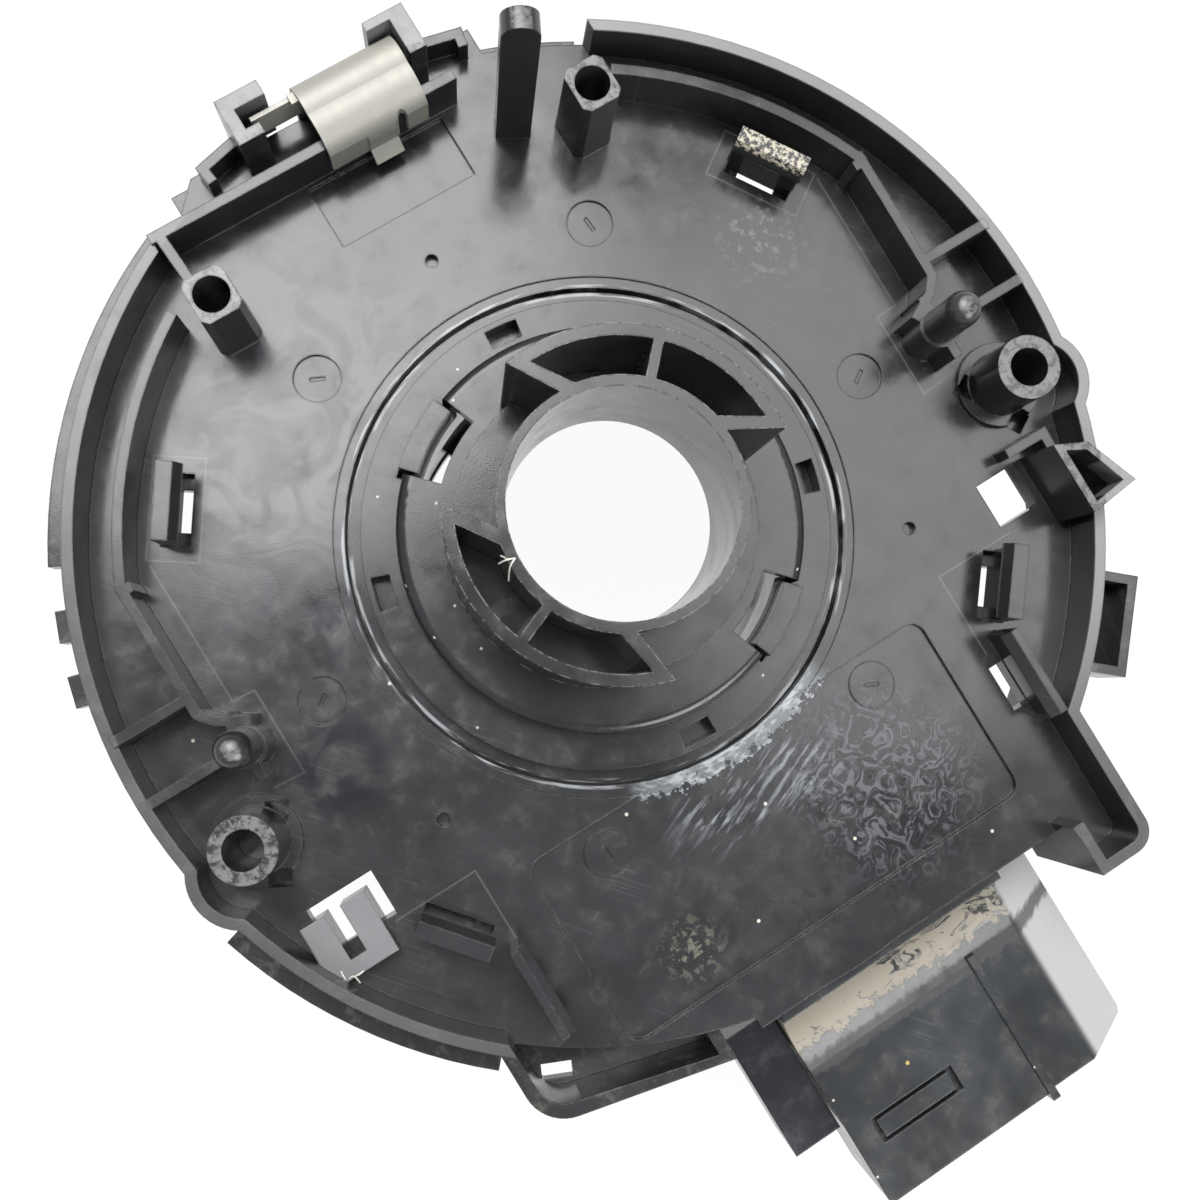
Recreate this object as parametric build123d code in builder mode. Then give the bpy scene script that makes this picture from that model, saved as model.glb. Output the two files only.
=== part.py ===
"""Steering clock spring: a flat cable wound between a fixed case and a turning hub."""
import os
from math import asin, cos, degrees, radians, sin

from build123d import *

# Millimetres. Rotor axis on Z, column side up, steering wheel side down, harness
# connector towards -Y. Z = 0 is the wheel side face of the rotor disc.

# Heights of the stack
foot_h = 9.0             # connector towers and pegs under the rotor disc
disc_t = 1.6             # rotor disc
cavity_h = 18.4          # cable room between rotor disc and case plate
plate_t = 1.8            # rear case plate
run_gap = 0.4            # free play between rotor and case
fit = 0.2                # play between snapped pieces of one body

disc_z = 0.0
foot_z = disc_z - foot_h
floor_z = disc_z + disc_t
under_z = floor_z + cavity_h
plate_z = under_z + plate_t

# Rear case plate
rim_r = 50.2             # outside of the rim wall
rim_t = 1.1              # rim wall thickness
rim_h = 5.2              # rim wall above the plate
rim_open_x = (-22.4, 24.9)   # the rim stops at the clip bracket
rim_end_x = (-32.9, 24.0)    # and at the connector side
hub_hole_r = 25.0
hub_step = (1.1, 0.2)    # width and depth of the step round the hub's hole
bulge_x = rim_r - 5.0    # rim swells round the two screw bosses
bulge_y = -10.0
bulge_r = 5.2
box_x = (-11.8, 30.8)    # straight sided corner over the connector
box_y = 0.2 - rim_r
lug_x = 24.1             # lug to the right of the connector
lug_y = box_y - 4.4
lug_fillet = 2.4
shelf_x = (-18.8, 15.5)  # ledge outside the straight rib
shelf_y = rim_r + 0.4
shelf_cut = 2.6

# Ribs on the plate
rib_t = 1.0
rib_h = 5.5
rib_r = rim_r - 5.1      # curved inner rib, mean radius
rib_start_a = 57.5       # angle where the curved rib leaves the square boss
rib_corner = (41.3, 17.8)
cross_rib_y = 6.3        # cross rib between inner rib and rim
bent_rib = ((41.3, 4.6), (40.2, 3.2), (37.4, 1.6))
straight_rib_y = 45.0    # straight rib behind the clip
straight_rib_x = (-22.6, 10.6)

# Screw bosses and pins
square_boss = (20.2, 35.9)
square_boss_w = 4.5
square_boss_d = 4.9
square_boss_h = 10.5
square_boss_hole_r = 1.7
round_boss = (rim_r - 6.6, -8.2)
round_boss_foot_r = 3.3
round_boss_h = 8.0
boss_ring = (4.4, 0.8)   # radius and height of the raised ring round each boss
boss_pockets = ((-3.1, 1.4), (-0.1, -4.2))   # small pockets beside each boss
boss_pocket_size = (2.2, 1.9)
round_boss_hole_r = 1.9
boss_hole_depth = 9.0
pin_at = (39.2, -0.2)
pin_r = 1.75
pin_h = 13.0
pin_foot_r = 2.1         # shoulder at the foot of each pin
finger_at = (14.1, 39.6)
finger_turn = -28.0
finger_w = 3.5
finger_t = 2.0
finger_h = 22.0
finger_foot = 2.6        # gusset at its foot
finger_foot_h = 7.5

# Snap hooks that stand on the plate, each with its shut-off window
hook_r = rim_r - 9.4     # inner face of the hook
hook_t = 1.1
hook_w = 7.4
hook_barb = 1.1
hook_h = 5.9
window_depth = 1.3
window_w = 4.2
window_reach = 2.8       # the lower windows reach out behind the hooks
hook_angles = (34.3, 145.7, -38.5, -141.5)
windowed_hook_angles = hook_angles[:3]
side_hook_x = (28.7, 27.5)   # thin hooks right and left of the recess
side_hook_y = (-29.4, -38.8)
side_hook_t = 1.0
side_hook_h = 5.6
side_window_x = (27.0, 28.6)
side_window_y = (-32.4, -37.4)

# Catch tower at the rim, and its broken twin on the left
catch_window = (36.0, 40.6, -16.0, -20.9)
catch_outline = ((41.5, -15.9), (44.7, -17.4), (46.9, -23.0), (41.5, -23.6))
catch_pocket = ((42.3, -17.0), (44.2, -18.0), (45.8, -22.4), (42.3, -22.8))
catch_h = 8.0
catch_wall = ((39.3, -14.6), (43.8, -14.7), (43.7, -17.5))
catch_wall_h = 3.0
stub_x = (37.3, 39.9, 41.6, 44.3)   # two prongs are left of the broken catch
stub_y = (-17.5, -22.4, -24.0)
stub_h = 2.0
stub_slot_x = (36.0, 43.1)
stub_slot_y = (-16.4, -21.2)

# Shallow marks in the plate
mark_ring_r = 31.6
mark_r = 2.35
mark_depth = 0.3
mark_bar = (1.5, 0.35)   # small raised bar in each mark
drill_ring_r = 31.9
drill_r = 0.65
recess_w = 46.6
recess_y = (-24.1, -44.5)
recess_depth = 0.45
recess_fillet = 1.6
clip_pocket = (-6.8, 8.4, 37.4, 44.0)

# Spring clip and its bracket
clip_x = (-3.9, 6.9)
clip_t = 0.45
clip_drop_y = shelf_y + 0.35     # the outer leaf hangs in front of the ledge
clip_tab_x = (0.2, 3.3)          # tab at the inner edge
clip_tab = 1.2
clip_notch = (4.1, 0.5)          # place and radius of the round notch
clip_arm = (-8.7, 49.2, 50.2)    # narrow arm that reaches into the left upright
clip_arm_z = (3.0, 6.4)
bracket_y = (47.6, 52.3)
bracket_h = 8.0
bracket_left_x = (-10.9, -8.2)
bracket_left_arm = (-6.4, 50.8)  # outer arm of the left upright
bracket_slot = (-9.6, 48.7, 50.8)
bracket_right_x = (7.4, 9.2)
bracket_lip_x = 4.9              # the right upright wraps the clip up to here
bracket_lip_t = 0.9
ledge_hooks = (((-10.5, 50.6), (-14.8, 49.6), (-14.6, 48.0)), ((9.0, 50.4), (13.7, 49.4), (13.45, 48.0)))
ledge_hook_h = 3.0

# Rotor sleeve
tube_r = 9.9             # bore in the cam tube
tube_t = 0.85
tube_top = 21.5          # above the plate
tube_low = 7.0
hat_r = 14.4             # raised collar that carries the tube
hat_t = 1.2
tier_two_r = 19.8
tier_two_h = 5.0
tier_one_r = 23.4
tier_one_h = 1.0
tier_two_edge = 1.0      # rounded top edge
tier_one_edge = 0.4      # bevelled top edge
neck_r = 24.7            # runs inside the plate's hole
neck_drop = 0.9
flange_r = 27.0          # holds the rotor under the plate
flange_t = 1.2
sleeve_bore_r = 18.0
roof_t = 1.4
cam_r = 15.3
cam_span = 105.0
cam_mid_angles = (46.5, 202.0)
cam_root_back = 11.5     # the pointed tips reach this many degrees past the roots
cam_wall = 1.1
cam_web = 0.9
cam_pocket_depth = 12.6
tier_window_angles = (84.3, 164.6, 264.5, 344.0)
tier_window_span = 8.6
snap_angles = (122.0, 302.0)
snap_span = 21.0
snap_slot_span = 24.0
snap_slot_r = 16.0

# Front rotor
case_r = rim_r - 13.0    # inside of the cable wall
rotor_r = case_r + 1.0
rotor_bore_r = 17.2
drum_r = 20.6            # the cable winds on this drum
drum_t = 1.4
disc_rib_r = rotor_r - 2.0
disc_rib_h = 1.5
peg_x = rotor_r - 10.7   # locating pegs for the steering wheel
peg_r = 2.4
peg_foot_r = 2.9         # shoulder at the foot of each peg
tower_y = rotor_r - 10.7 # connector towers on the other two sides
tower_seat_w = 17.0
tower_seat_d = 7.0
tower_socket_d = 6.0
tower_wall = 1.3
tower_pitch = 2.4
tower_key = (3.0, 1.4)
pin_sunk = 4.5           # pin tips behind the socket mouth
wheel_socket_w = 18.0
wheel_pins = 6
airbag_socket_w = 12.0
airbag_pins = 3
lead_block_h = 11.0
lead_block_a = 60.0      # start of the block in the drum
lead_block_span = 40.0
lead_block_gap = 0.3

# Cable room
case_t = 1.4
ribbon_t = 0.3
ribbon_gap = 0.2
coil_turns = 3
sheet_t = 0.2
sheet_r = (flange_r + 1.0, case_r - 0.3)

# Roller carrier
carrier_r = (24.0, case_r - 3.8)
carrier_t = 1.0
roller_count = 4
roller_ring_r = (drum_r + case_r) / 2 - 0.2
roller_r = 4.9
roller_bore_r = 1.5
roller_start_a = 45.0
post_play = 0.08

# Front case
flange_case_t = 1.5
skirt_h = 8.0
skirt_t = 1.3
gusset_count = 12
gusset_t = 1.1
bands = ((114.7, 152.3, 3.3), (196.4, 228.0, 3.3), (61.0, 78.0, 1.3))   # start, end, reach
band_z = (-4.2, -1.9)
ear_x = (-34.9, -15.4)
ear_y = (-46.9, -51.7)
ear_fillet = 4.5
ear_wall = (223.0, 31.0)  # start and span of the round wall behind the ear
ear_wall_r = (48.7, 49.9)
ear_hole_at = (-31.6, -44.6)
ear_hole = (3.2, 1.6)
loop_angle = -40.6
loop_reach = (rim_r - 2.2, rim_r + 7.2)
loop_w = 10.8
nub_angles = (158.5, 165.5)
nub_size = (4.4, 3.2, 2.6)

# Harness connector
hood_x = (-9.6, 23.8)
hood_y = (box_y - 0.3, box_y - 24.5)
hood_top = -6.0          # below the plate face
hood_h = 12.6
hood_slope_y = box_y - 7.8
hood_valley = (-6.4, 1.0)    # the slope ends a little below the hood's top
hood_bevel_x = 16.9
hood_bevel_drop = 6.4
hood_rib_x = 11.0        # raised line along the hood
hood_rib = (0.9, 0.8)
hood_rib_nose = 0.7      # it stands past the front
hood_side_drop = 0.6     # the right hand block lies lower
main_socket_x = (-7.9, 8.9)
small_socket_x = (11.2, 20.6)
socket_depth = 13.0
latch_slot = (-6.9, 3.2, box_y - 16.1, box_y - 18.9)
latch_tongue = (-6.4, 2.5, box_y - 16.5, box_y - 18.5)
side_shell_x = (-15.3, -9.8)
side_shell_y = (box_y - 1.6, box_y - 15.8)
side_shell_top = -8.0
side_shell_h = 9.4
side_socket_w = 3.9
side_socket_depth = 10.0
socket_drop = (-17.2, -7.6)      # main socket, below the plate face
small_socket_drop = (-17.0, -11.2)
slot_depth = 1.2
pin_w = 0.8
pin_t = 0.6
main_pitch = 2.2
main_pins = 7
small_pitch = 2.0
small_pins = 4
pin_end_y = box_y - 20.0
lead_x = (-7.6, 8.6)
lead_drop = -16.6
lead_h = 3.8
lead_z = plate_z + lead_drop


def polar(radius, angle):
    """Point at a radius and an angle in degrees."""
    return (radius * cos(radians(angle)), radius * sin(radians(angle)))


def turned(radius, angle):
    """Location at a radius, with its X axis pointing outwards."""
    return Location((*polar(radius, angle), 0), (0, 0, angle))


def upright_plane(at, angle, height):
    """Standing plane at a point: its X lies at the angle, its Y points up."""
    a = radians(angle)
    return Plane(origin=(*at, height), x_dir=(cos(a), sin(a), 0), z_dir=(sin(a), -cos(a), 0))


def sector(inner, outer, start, span, mode=Mode.ADD):
    """Ring sector between two radii, drawn in the open sketch."""
    with BuildLine() as edge:
        CenterArc((0, 0), outer, start, span)
        Line(polar(outer, start + span), polar(inner, start + span))
        CenterArc((0, 0), inner, start + span, -span)
        Line(polar(inner, start), polar(outer, start))
    make_face(edge.edges(), mode=mode)


def box_between(x_pair, y_pair, mode=Mode.ADD):
    """Rectangle between two X values and two Y values."""
    with Locations(((x_pair[0] + x_pair[1]) / 2, (y_pair[0] + y_pair[1]) / 2)):
        Rectangle(abs(x_pair[1] - x_pair[0]), abs(y_pair[1] - y_pair[0]), mode=mode)


def outward_x(x_pair):
    """Two X values mirrored to the left of the part."""
    return (-x_pair[0], -x_pair[1])


def outward(points, side):
    """The same points on the right or the left of the part."""
    return [(side * x, y) for x, y in points]


os.makedirs("parts", exist_ok=True)

# Outline of the rear case, shared by its plate and its rim
def case_outline(inset):
    """Round plate with its bulges, square corner, lug and ledge, moved inwards by the inset."""
    Circle(rim_r - inset)
    with Locations((bulge_x, bulge_y), (-bulge_x, bulge_y)):
        Circle(bulge_r - inset)
    box_between((box_x[0] + inset, box_x[1] - inset), (box_y + inset, box_y + 20))
    with BuildSketch(mode=Mode.PRIVATE) as lug:
        box_between((lug_x + inset, box_x[1] - inset), (lug_y + inset, box_y + 20))
        lug_end = lug.vertices().group_by(Axis.Y)[0].sort_by(Axis.X)
        fillet(lug_end[-1], radius=lug_fillet - inset)
    add(lug.sketch)
    with BuildSketch(mode=Mode.PRIVATE) as shelf:
        box_between((shelf_x[0] + inset, shelf_x[1] - inset), (shelf_y - 20, shelf_y - inset))
        shelf_end = shelf.vertices().group_by(Axis.Y)[-1].sort_by(Axis.X)
        chamfer(shelf_end[0], length=shelf_cut)
    add(shelf.sketch)


with BuildSketch() as rear_outline:
    case_outline(0)

# The rim follows the outline and leaves out the clip ledge and the connector side
with BuildSketch() as rim_inside:
    case_outline(rim_t)
with BuildSketch() as rim_band:
    add(rear_outline.sketch)
    add(rim_inside.sketch, mode=Mode.SUBTRACT)
    box_between(rim_open_x, (0, rim_r + 5), mode=Mode.SUBTRACT)
    box_between(rim_end_x, (0, lug_y - 5), mode=Mode.SUBTRACT)


# REAR CASE: the moulded plate that carries ribs, bosses, pins and hooks
def plate_ribs():
    """Curved inner ribs, cross ribs and the straight rib behind the clip."""
    corner_a = degrees(asin(rib_corner[1] / rib_r))
    for side in (1, -1):
        with BuildSketch(Plane.XY.offset(plate_z)) as shape:
            start = rib_start_a if side > 0 else 180 - rib_start_a
            with BuildLine():
                CenterArc((0, 0), rib_r, start, side * (corner_a - rib_start_a))
            trace(line_width=rib_t)
            with BuildLine():
                corner_end = (rib_corner[0], cross_rib_y - rib_t / 2)
                Polyline(outward([polar(rib_r, corner_a), rib_corner, corner_end], side))
            trace(line_width=rib_t)
            with BuildLine():
                Line(*outward([(rib_corner[0], cross_rib_y), (rim_r - rim_t, cross_rib_y)], side))
            trace(line_width=rib_t)
            with BuildLine():
                Polyline(outward([(rib_corner[0], cross_rib_y), *bent_rib], side))
            trace(line_width=rib_t)
            with BuildLine():
                Line(*outward([(pin_at[0] - 0.5, pin_at[1]), (rim_r - rim_t, pin_at[1])], side))
            trace(line_width=rib_t)
        extrude(shape.sketch, amount=rib_h)
    with BuildSketch(Plane.XY.offset(plate_z)) as shape:
        box_between(straight_rib_x, (straight_rib_y - rib_t / 2, straight_rib_y + rib_t / 2))
        with BuildLine():
            Line((straight_rib_x[0] + 1, straight_rib_y), (-square_boss[0] - 1, square_boss[1] + 2))
        trace(line_width=rib_t)
    extrude(shape.sketch, amount=rib_h)


def plate_bosses():
    """Square and round screw bosses, and the two locating pins."""
    for side in (1, -1):
        with BuildSketch(Plane.XY.offset(plate_z)) as shape:
            with Locations((side * square_boss[0], square_boss[1])):
                Rectangle(square_boss_w, square_boss_d)
            chamfer(shape.vertices(), length=0.7)
        extrude(shape.sketch, amount=square_boss_h, taper=0.8)
        with BuildSketch(Plane.XY.offset(plate_z)) as shape:
            with Locations((side * round_boss[0], round_boss[1])):
                Circle(round_boss_foot_r)
        extrude(shape.sketch, amount=round_boss_h, taper=1)
        with BuildSketch(Plane.XY.offset(plate_z)) as shape:
            with Locations((side * round_boss[0], round_boss[1])):
                Circle(boss_ring[0])
                Circle(round_boss_foot_r - 0.5, mode=Mode.SUBTRACT)
        extrude(shape.sketch, amount=boss_ring[1])
        with BuildSketch(Plane.XY.offset(plate_z)) as shape:
            with Locations((side * pin_at[0], pin_at[1])):
                Circle(pin_r)
        extrude(shape.sketch, amount=pin_h - pin_r)
        with BuildSketch(Plane.XY.offset(plate_z)) as shape:
            with Locations((side * pin_at[0], pin_at[1])):
                Circle(pin_foot_r)
        extrude(shape.sketch, amount=rib_h)
        with Locations((side * pin_at[0], pin_at[1], plate_z + pin_h - pin_r)):
            Sphere(pin_r)
        with BuildSketch(Plane.XY.offset(plate_z)) as shape:
            with Locations((side * pin_at[0], pin_at[1])):
                Rectangle(rib_t, 4 * pin_r)
        extrude(shape.sketch, amount=rib_h)


def boss_holes():
    """Screw holes down the four bosses, and the small pockets beside the round ones."""
    for side in (1, -1):
        with BuildSketch(Plane.XY.offset(under_z)) as pockets:
            for x, y in boss_pockets:
                with Locations(Location((side * (round_boss[0] + x), round_boss[1] + y, 0), (0, 0, side * 30))):
                    Rectangle(*boss_pocket_size)
            with Locations((side * round_boss[0], round_boss[1])):
                Circle(round_boss_foot_r + 0.1, mode=Mode.SUBTRACT)
        extrude(pockets.sketch, amount=plate_t + boss_ring[1], mode=Mode.SUBTRACT)
        with Locations((side * square_boss[0], square_boss[1], plate_z + square_boss_h)):
            Hole(square_boss_hole_r, depth=boss_hole_depth)
        with Locations((side * round_boss[0], round_boss[1], plate_z + round_boss_h)):
            Hole(round_boss_hole_r, depth=boss_hole_depth)


def snap_hook(radius, angle, height, width):
    """One hook: a flat tongue with its barb towards the hub."""
    with BuildSketch(upright_plane(polar(radius, angle), angle, plate_z)) as shape:
        with BuildLine():
            Polyline((0, 0), (hook_t + 0.4, 0), (hook_t, 1.0), (hook_t, height), (-hook_barb * 0.4, height),
                     (-hook_barb, height - 1.0), (-hook_barb, height - 1.5), (0, height - 2.2), close=True)
        make_face()
    extrude(shape.sketch, amount=width / 2, both=True)


def hook_windows():
    """Windows through the plate under the barbs."""
    with BuildSketch(Plane.XY.offset(under_z)) as shape:
        for angle in hook_angles:
            with Locations(turned(hook_r - window_depth / 2, angle)):
                Rectangle(window_depth, hook_w - 0.4)
        box_between(side_window_x, side_window_y)
        box_between(catch_window[:2], catch_window[2:])
        box_between(outward_x(stub_slot_x), (stub_slot_y[0], stub_y[0]))
        box_between(outward_x(stub_x[1:3]), (stub_y[0], stub_y[1]))
        box_between(outward_x((stub_slot_x[0], stub_x[0])), (stub_y[0], stub_slot_y[1]))
    extrude(shape.sketch, amount=plate_t, mode=Mode.SUBTRACT)


def side_hooks():
    """Thin straight hooks on both sides of the shallow recess."""
    mid_y = sum(side_hook_y) / 2
    for side, hook_x in zip((1, -1), side_hook_x):
        with BuildSketch(Plane.XZ.offset(-mid_y)) as shape:
            with BuildLine():
                Polyline(outward([(hook_x, plate_z), (hook_x + side_hook_t, plate_z),
                                  (hook_x + side_hook_t, plate_z + side_hook_h),
                                  (hook_x + 0.2, plate_z + side_hook_h),
                                  (hook_x - 0.7, plate_z + side_hook_h - 0.9),
                                  (hook_x, plate_z + side_hook_h - 1.4)], side), close=True)
            make_face()
        extrude(shape.sketch, amount=abs(side_hook_y[1] - side_hook_y[0]) / 2, both=True)


def catch_tower():
    """Hollow catch at the right rim, and the stub where the left one broke off."""
    with BuildSketch(Plane.XY.offset(plate_z)) as shape:
        with BuildLine():
            Polyline(*catch_outline, close=True)
        make_face()
    extrude(shape.sketch, amount=catch_h)
    with BuildSketch(Plane.XY.offset(plate_z + catch_h)) as shape:
        with BuildLine():
            Polyline(*catch_pocket, close=True)
        make_face()
    extrude(shape.sketch, amount=-catch_h + 1, mode=Mode.SUBTRACT)
    with BuildSketch(Plane.XY.offset(plate_z)) as shape:
        with BuildLine():
            Polyline(*catch_wall)
        trace(line_width=rib_t)
    extrude(shape.sketch, amount=catch_wall_h)
    with BuildSketch(Plane.XY.offset(plate_z)) as shape:
        box_between(outward_x(stub_x[::3]), stub_y[::2])
        box_between(outward_x(stub_x[1:3]), stub_y[:2], mode=Mode.SUBTRACT)
    extrude(shape.sketch, amount=stub_h)


def finger():
    """Tall rounded finger at the upper rim, with a gusset at its foot."""
    with BuildSketch(upright_plane(finger_at, finger_turn, plate_z)) as shape:
        with Locations((0, (finger_h - finger_w / 2) / 2)):
            Rectangle(finger_w, finger_h - finger_w / 2)
        with Locations((0, finger_h - finger_w / 2)):
            Circle(finger_w / 2)
    extrude(shape.sketch, amount=finger_t / 2, both=True)
    with BuildSketch(upright_plane(finger_at, finger_turn + 90, plate_z)) as shape:
        with BuildLine():
            Polyline((0, 0), (finger_t / 2 + finger_foot, 0), (finger_t / 2, finger_foot_h),
                     (0, finger_foot_h), close=True)
        make_face()
    extrude(shape.sketch, amount=rib_t / 2, both=True)


def clip_bracket():
    """Two uprights that flank the clip, and the thin hooked ribs on the ledge."""
    with BuildSketch(Plane.XY.offset(plate_z)) as shape:
        box_between(bracket_left_x, bracket_y)
        box_between((bracket_left_x[1], bracket_left_arm[0]), (bracket_left_arm[1], bracket_y[1]))
        box_between((bracket_slot[0], bracket_left_x[1]), bracket_slot[1:], mode=Mode.SUBTRACT)
        box_between(bracket_right_x, bracket_y)
        box_between((bracket_lip_x, bracket_right_x[1]), (bracket_y[1] - bracket_lip_t, bracket_y[1]))
    extrude(shape.sketch, amount=bracket_h)
    for hook_line in ledge_hooks:
        with BuildSketch(Plane.XY.offset(plate_z)) as shape:
            with BuildLine():
                Polyline(*hook_line)
            trace(line_width=rib_t)
        extrude(shape.sketch, amount=ledge_hook_h)


def plate_marks():
    """Round marks, small drill points, the shallow recess and the pocket by the clip."""
    with BuildSketch(Plane.XY.offset(plate_z)) as shape:
        with PolarLocations(mark_ring_r, 6):
            Circle(mark_r)
            Rectangle(*mark_bar, rotation=35, mode=Mode.SUBTRACT)
    extrude(shape.sketch, amount=-mark_depth, mode=Mode.SUBTRACT)
    with BuildSketch(Plane.XY.offset(plate_z)) as shape:
        with PolarLocations(drill_ring_r, 3, start_angle=90):
            Circle(drill_r)
    extrude(shape.sketch, amount=-plate_t / 2, mode=Mode.SUBTRACT)
    with BuildSketch(Plane.XY.offset(plate_z)) as shape:
        Circle(hub_hole_r + hub_step[0])
    extrude(shape.sketch, amount=-hub_step[1], mode=Mode.SUBTRACT)
    with BuildSketch(Plane.XY.offset(plate_z)) as shape:
        box_between((-recess_w / 2, recess_w / 2), recess_y)
        fillet(shape.vertices(), radius=recess_fillet)
        with PolarLocations(mark_ring_r, 6):
            Circle(mark_r, mode=Mode.SUBTRACT)
            Rectangle(*mark_bar, rotation=35)
    extrude(shape.sketch, amount=-recess_depth, mode=Mode.SUBTRACT)
    with BuildSketch(Plane.XY.offset(plate_z)) as shape:
        box_between(clip_pocket[:2], clip_pocket[2:])
    extrude(shape.sketch, amount=-recess_depth, mode=Mode.SUBTRACT)


with BuildPart() as rear_case:
    with BuildSketch(Plane.XY.offset(under_z)):
        add(rear_outline.sketch)
        Circle(hub_hole_r, mode=Mode.SUBTRACT)
    extrude(amount=plate_t)
    with BuildSketch(Plane.XY.offset(plate_z)):
        add(rim_band.sketch)
    extrude(amount=rim_h)
    plate_ribs()
    plate_bosses()
    catch_tower()
    for hook_angle in hook_angles:
        snap_hook(hook_r, hook_angle, hook_h, hook_w)
    side_hooks()
    finger()
    clip_bracket()
    plate_marks()
    boss_holes()
    hook_windows()
rear_case.part.label = "rear_case"
export_step(rear_case.part, "parts/rear_case.step")


# REAR SLEEVE: stepped hub with the bore tube and the two cancelling cams
def cam_arc(mid, grow, inner, outer):
    """Crescent with pointed tips: a ring sector whose ends lean back to the tube."""
    half = cam_span / 2 - grow
    root = half - cam_root_back
    with BuildLine() as edge:
        CenterArc((0, 0), outer, mid - half, 2 * half)
        Line(polar(outer, mid + half), polar(inner, mid + root))
        CenterArc((0, 0), inner, mid + root, -2 * root)
        Line(polar(inner, mid - root), polar(outer, mid - half))
    make_face(edge.edges())


def cams():
    """Two crescents round the tube, each with two open pockets and a web between them."""
    tube_outer = tube_r + tube_t
    for mid in cam_mid_angles:
        with BuildSketch(Plane.XY.offset(plate_z + tier_two_h)) as lobe:
            cam_arc(mid, 0, tube_outer - 0.3, cam_r)
        extrude(lobe.sketch, amount=tube_top - tier_two_h)
    for mid in cam_mid_angles:
        with BuildSketch(Plane.XY.offset(plate_z + tube_top)) as pockets:
            cam_arc(mid, degrees(cam_wall / cam_r) + 2.5, tube_outer + 0.15, cam_r - cam_wall)
            with Locations(turned(cam_r / 2, mid)):
                Rectangle(cam_r, cam_web, mode=Mode.SUBTRACT)
        extrude(pockets.sketch, amount=-cam_pocket_depth, mode=Mode.SUBTRACT)


def sleeve_cuts():
    """Four small windows in the first tier and the two slots for the snap tongues."""
    with BuildSketch(Plane.XY.offset(under_z)) as windows:
        for angle in tier_window_angles:
            sector(drum_r + 0.4, drum_r + 2.2, angle - tier_window_span / 2, tier_window_span)
    extrude(windows.sketch, amount=plate_t + tier_one_h, mode=Mode.SUBTRACT)
    with BuildSketch(Plane.XY.offset(plate_z + tier_two_h)) as slots:
        for angle in snap_angles:
            sector(snap_slot_r, drum_r, angle - snap_slot_span / 2, snap_slot_span)
    extrude(slots.sketch, amount=-(tier_two_h - tier_one_h - 0.6), mode=Mode.SUBTRACT)
    with BuildSketch(Plane.XY.offset(plate_z + tier_two_h)) as channels:
        for angle in snap_angles:
            sector(tongue_r[0] - fit, drum_r, angle - snap_slot_span / 2, snap_slot_span)
    extrude(channels.sketch, amount=-(plate_z + tier_two_h - sleeve_z), mode=Mode.SUBTRACT)


sleeve_z = under_z - run_gap - flange_t
tongue_r = (drum_r - drum_t, drum_r - fit)

with BuildPart() as rear_sleeve:
    with BuildSketch(Plane.XZ) as sleeve_section:
        with BuildLine():
            Polyline((sleeve_bore_r, sleeve_z), (flange_r, sleeve_z), (flange_r, sleeve_z + flange_t),
                     (neck_r, sleeve_z + flange_t), (neck_r, plate_z - neck_drop),
                     (tier_one_r, plate_z - neck_drop), (tier_one_r, plate_z + tier_one_h),
                     (tier_two_r, plate_z + tier_one_h), (tier_two_r, plate_z + tier_two_h),
                     (hat_r, plate_z + tier_two_h), (hat_r, plate_z + tube_low + hat_t),
                     (tube_r + tube_t, plate_z + tube_low + hat_t), (tube_r + tube_t, plate_z + tube_top),
                     (tube_r, plate_z + tube_top), (tube_r, plate_z + tube_low),
                     (hat_r - hat_t, plate_z + tube_low), (hat_r - hat_t, plate_z + tier_two_h - roof_t),
                     (sleeve_bore_r, plate_z + tier_two_h - roof_t), close=True)
        make_face()
        corners = sleeve_section.vertices()
        tier_two_tops = corners.filter_by_position(Axis.X, tier_two_r - 0.1, tier_two_r + 0.1).sort_by(Axis.Y)
        tier_one_tops = corners.filter_by_position(Axis.X, tier_one_r - 0.1, tier_one_r + 0.1).sort_by(Axis.Y)
        fillet(tier_two_tops[-1], radius=tier_two_edge)
        chamfer(tier_one_tops[-1], length=tier_one_edge)
    revolve(axis=Axis.Z)
    cams()
    sleeve_cuts()
rear_sleeve.part.label = "rear_sleeve"
export_step(rear_sleeve.part, "parts/rear_sleeve.step")


# FRONT ROTOR: disc, cable drum, snap tongues and the wheel side fittings
drum_h = sleeve_z - floor_z
tongue_top = plate_z + 4.4
barb_z = plate_z + tier_one_h + 0.6 + fit


def snap_tongues():
    """Two tongues that rise from the drum and catch in the sleeve's slots."""
    with BuildSketch(Plane.XY.offset(sleeve_z)) as tongues:
        for angle in snap_angles:
            sector(*tongue_r, angle - snap_span / 2, snap_span)
    extrude(tongues.sketch, amount=tongue_top - sleeve_z)
    with BuildSketch(Plane.XY.offset(barb_z)) as barbs:
        for angle in snap_angles:
            sector(tongue_r[0] - 0.8, tongue_r[1], angle - snap_span / 2, snap_span)
    extrude(barbs.sketch, amount=tongue_top - barb_z)
    with BuildSketch(Plane.XY.offset(disc_z)) as slots:
        for angle in snap_angles:
            sector(rotor_bore_r + 0.6, tongue_r[0] - fit, angle - snap_span / 2, snap_span)
    extrude(slots.sketch, amount=disc_t, mode=Mode.SUBTRACT)


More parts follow.
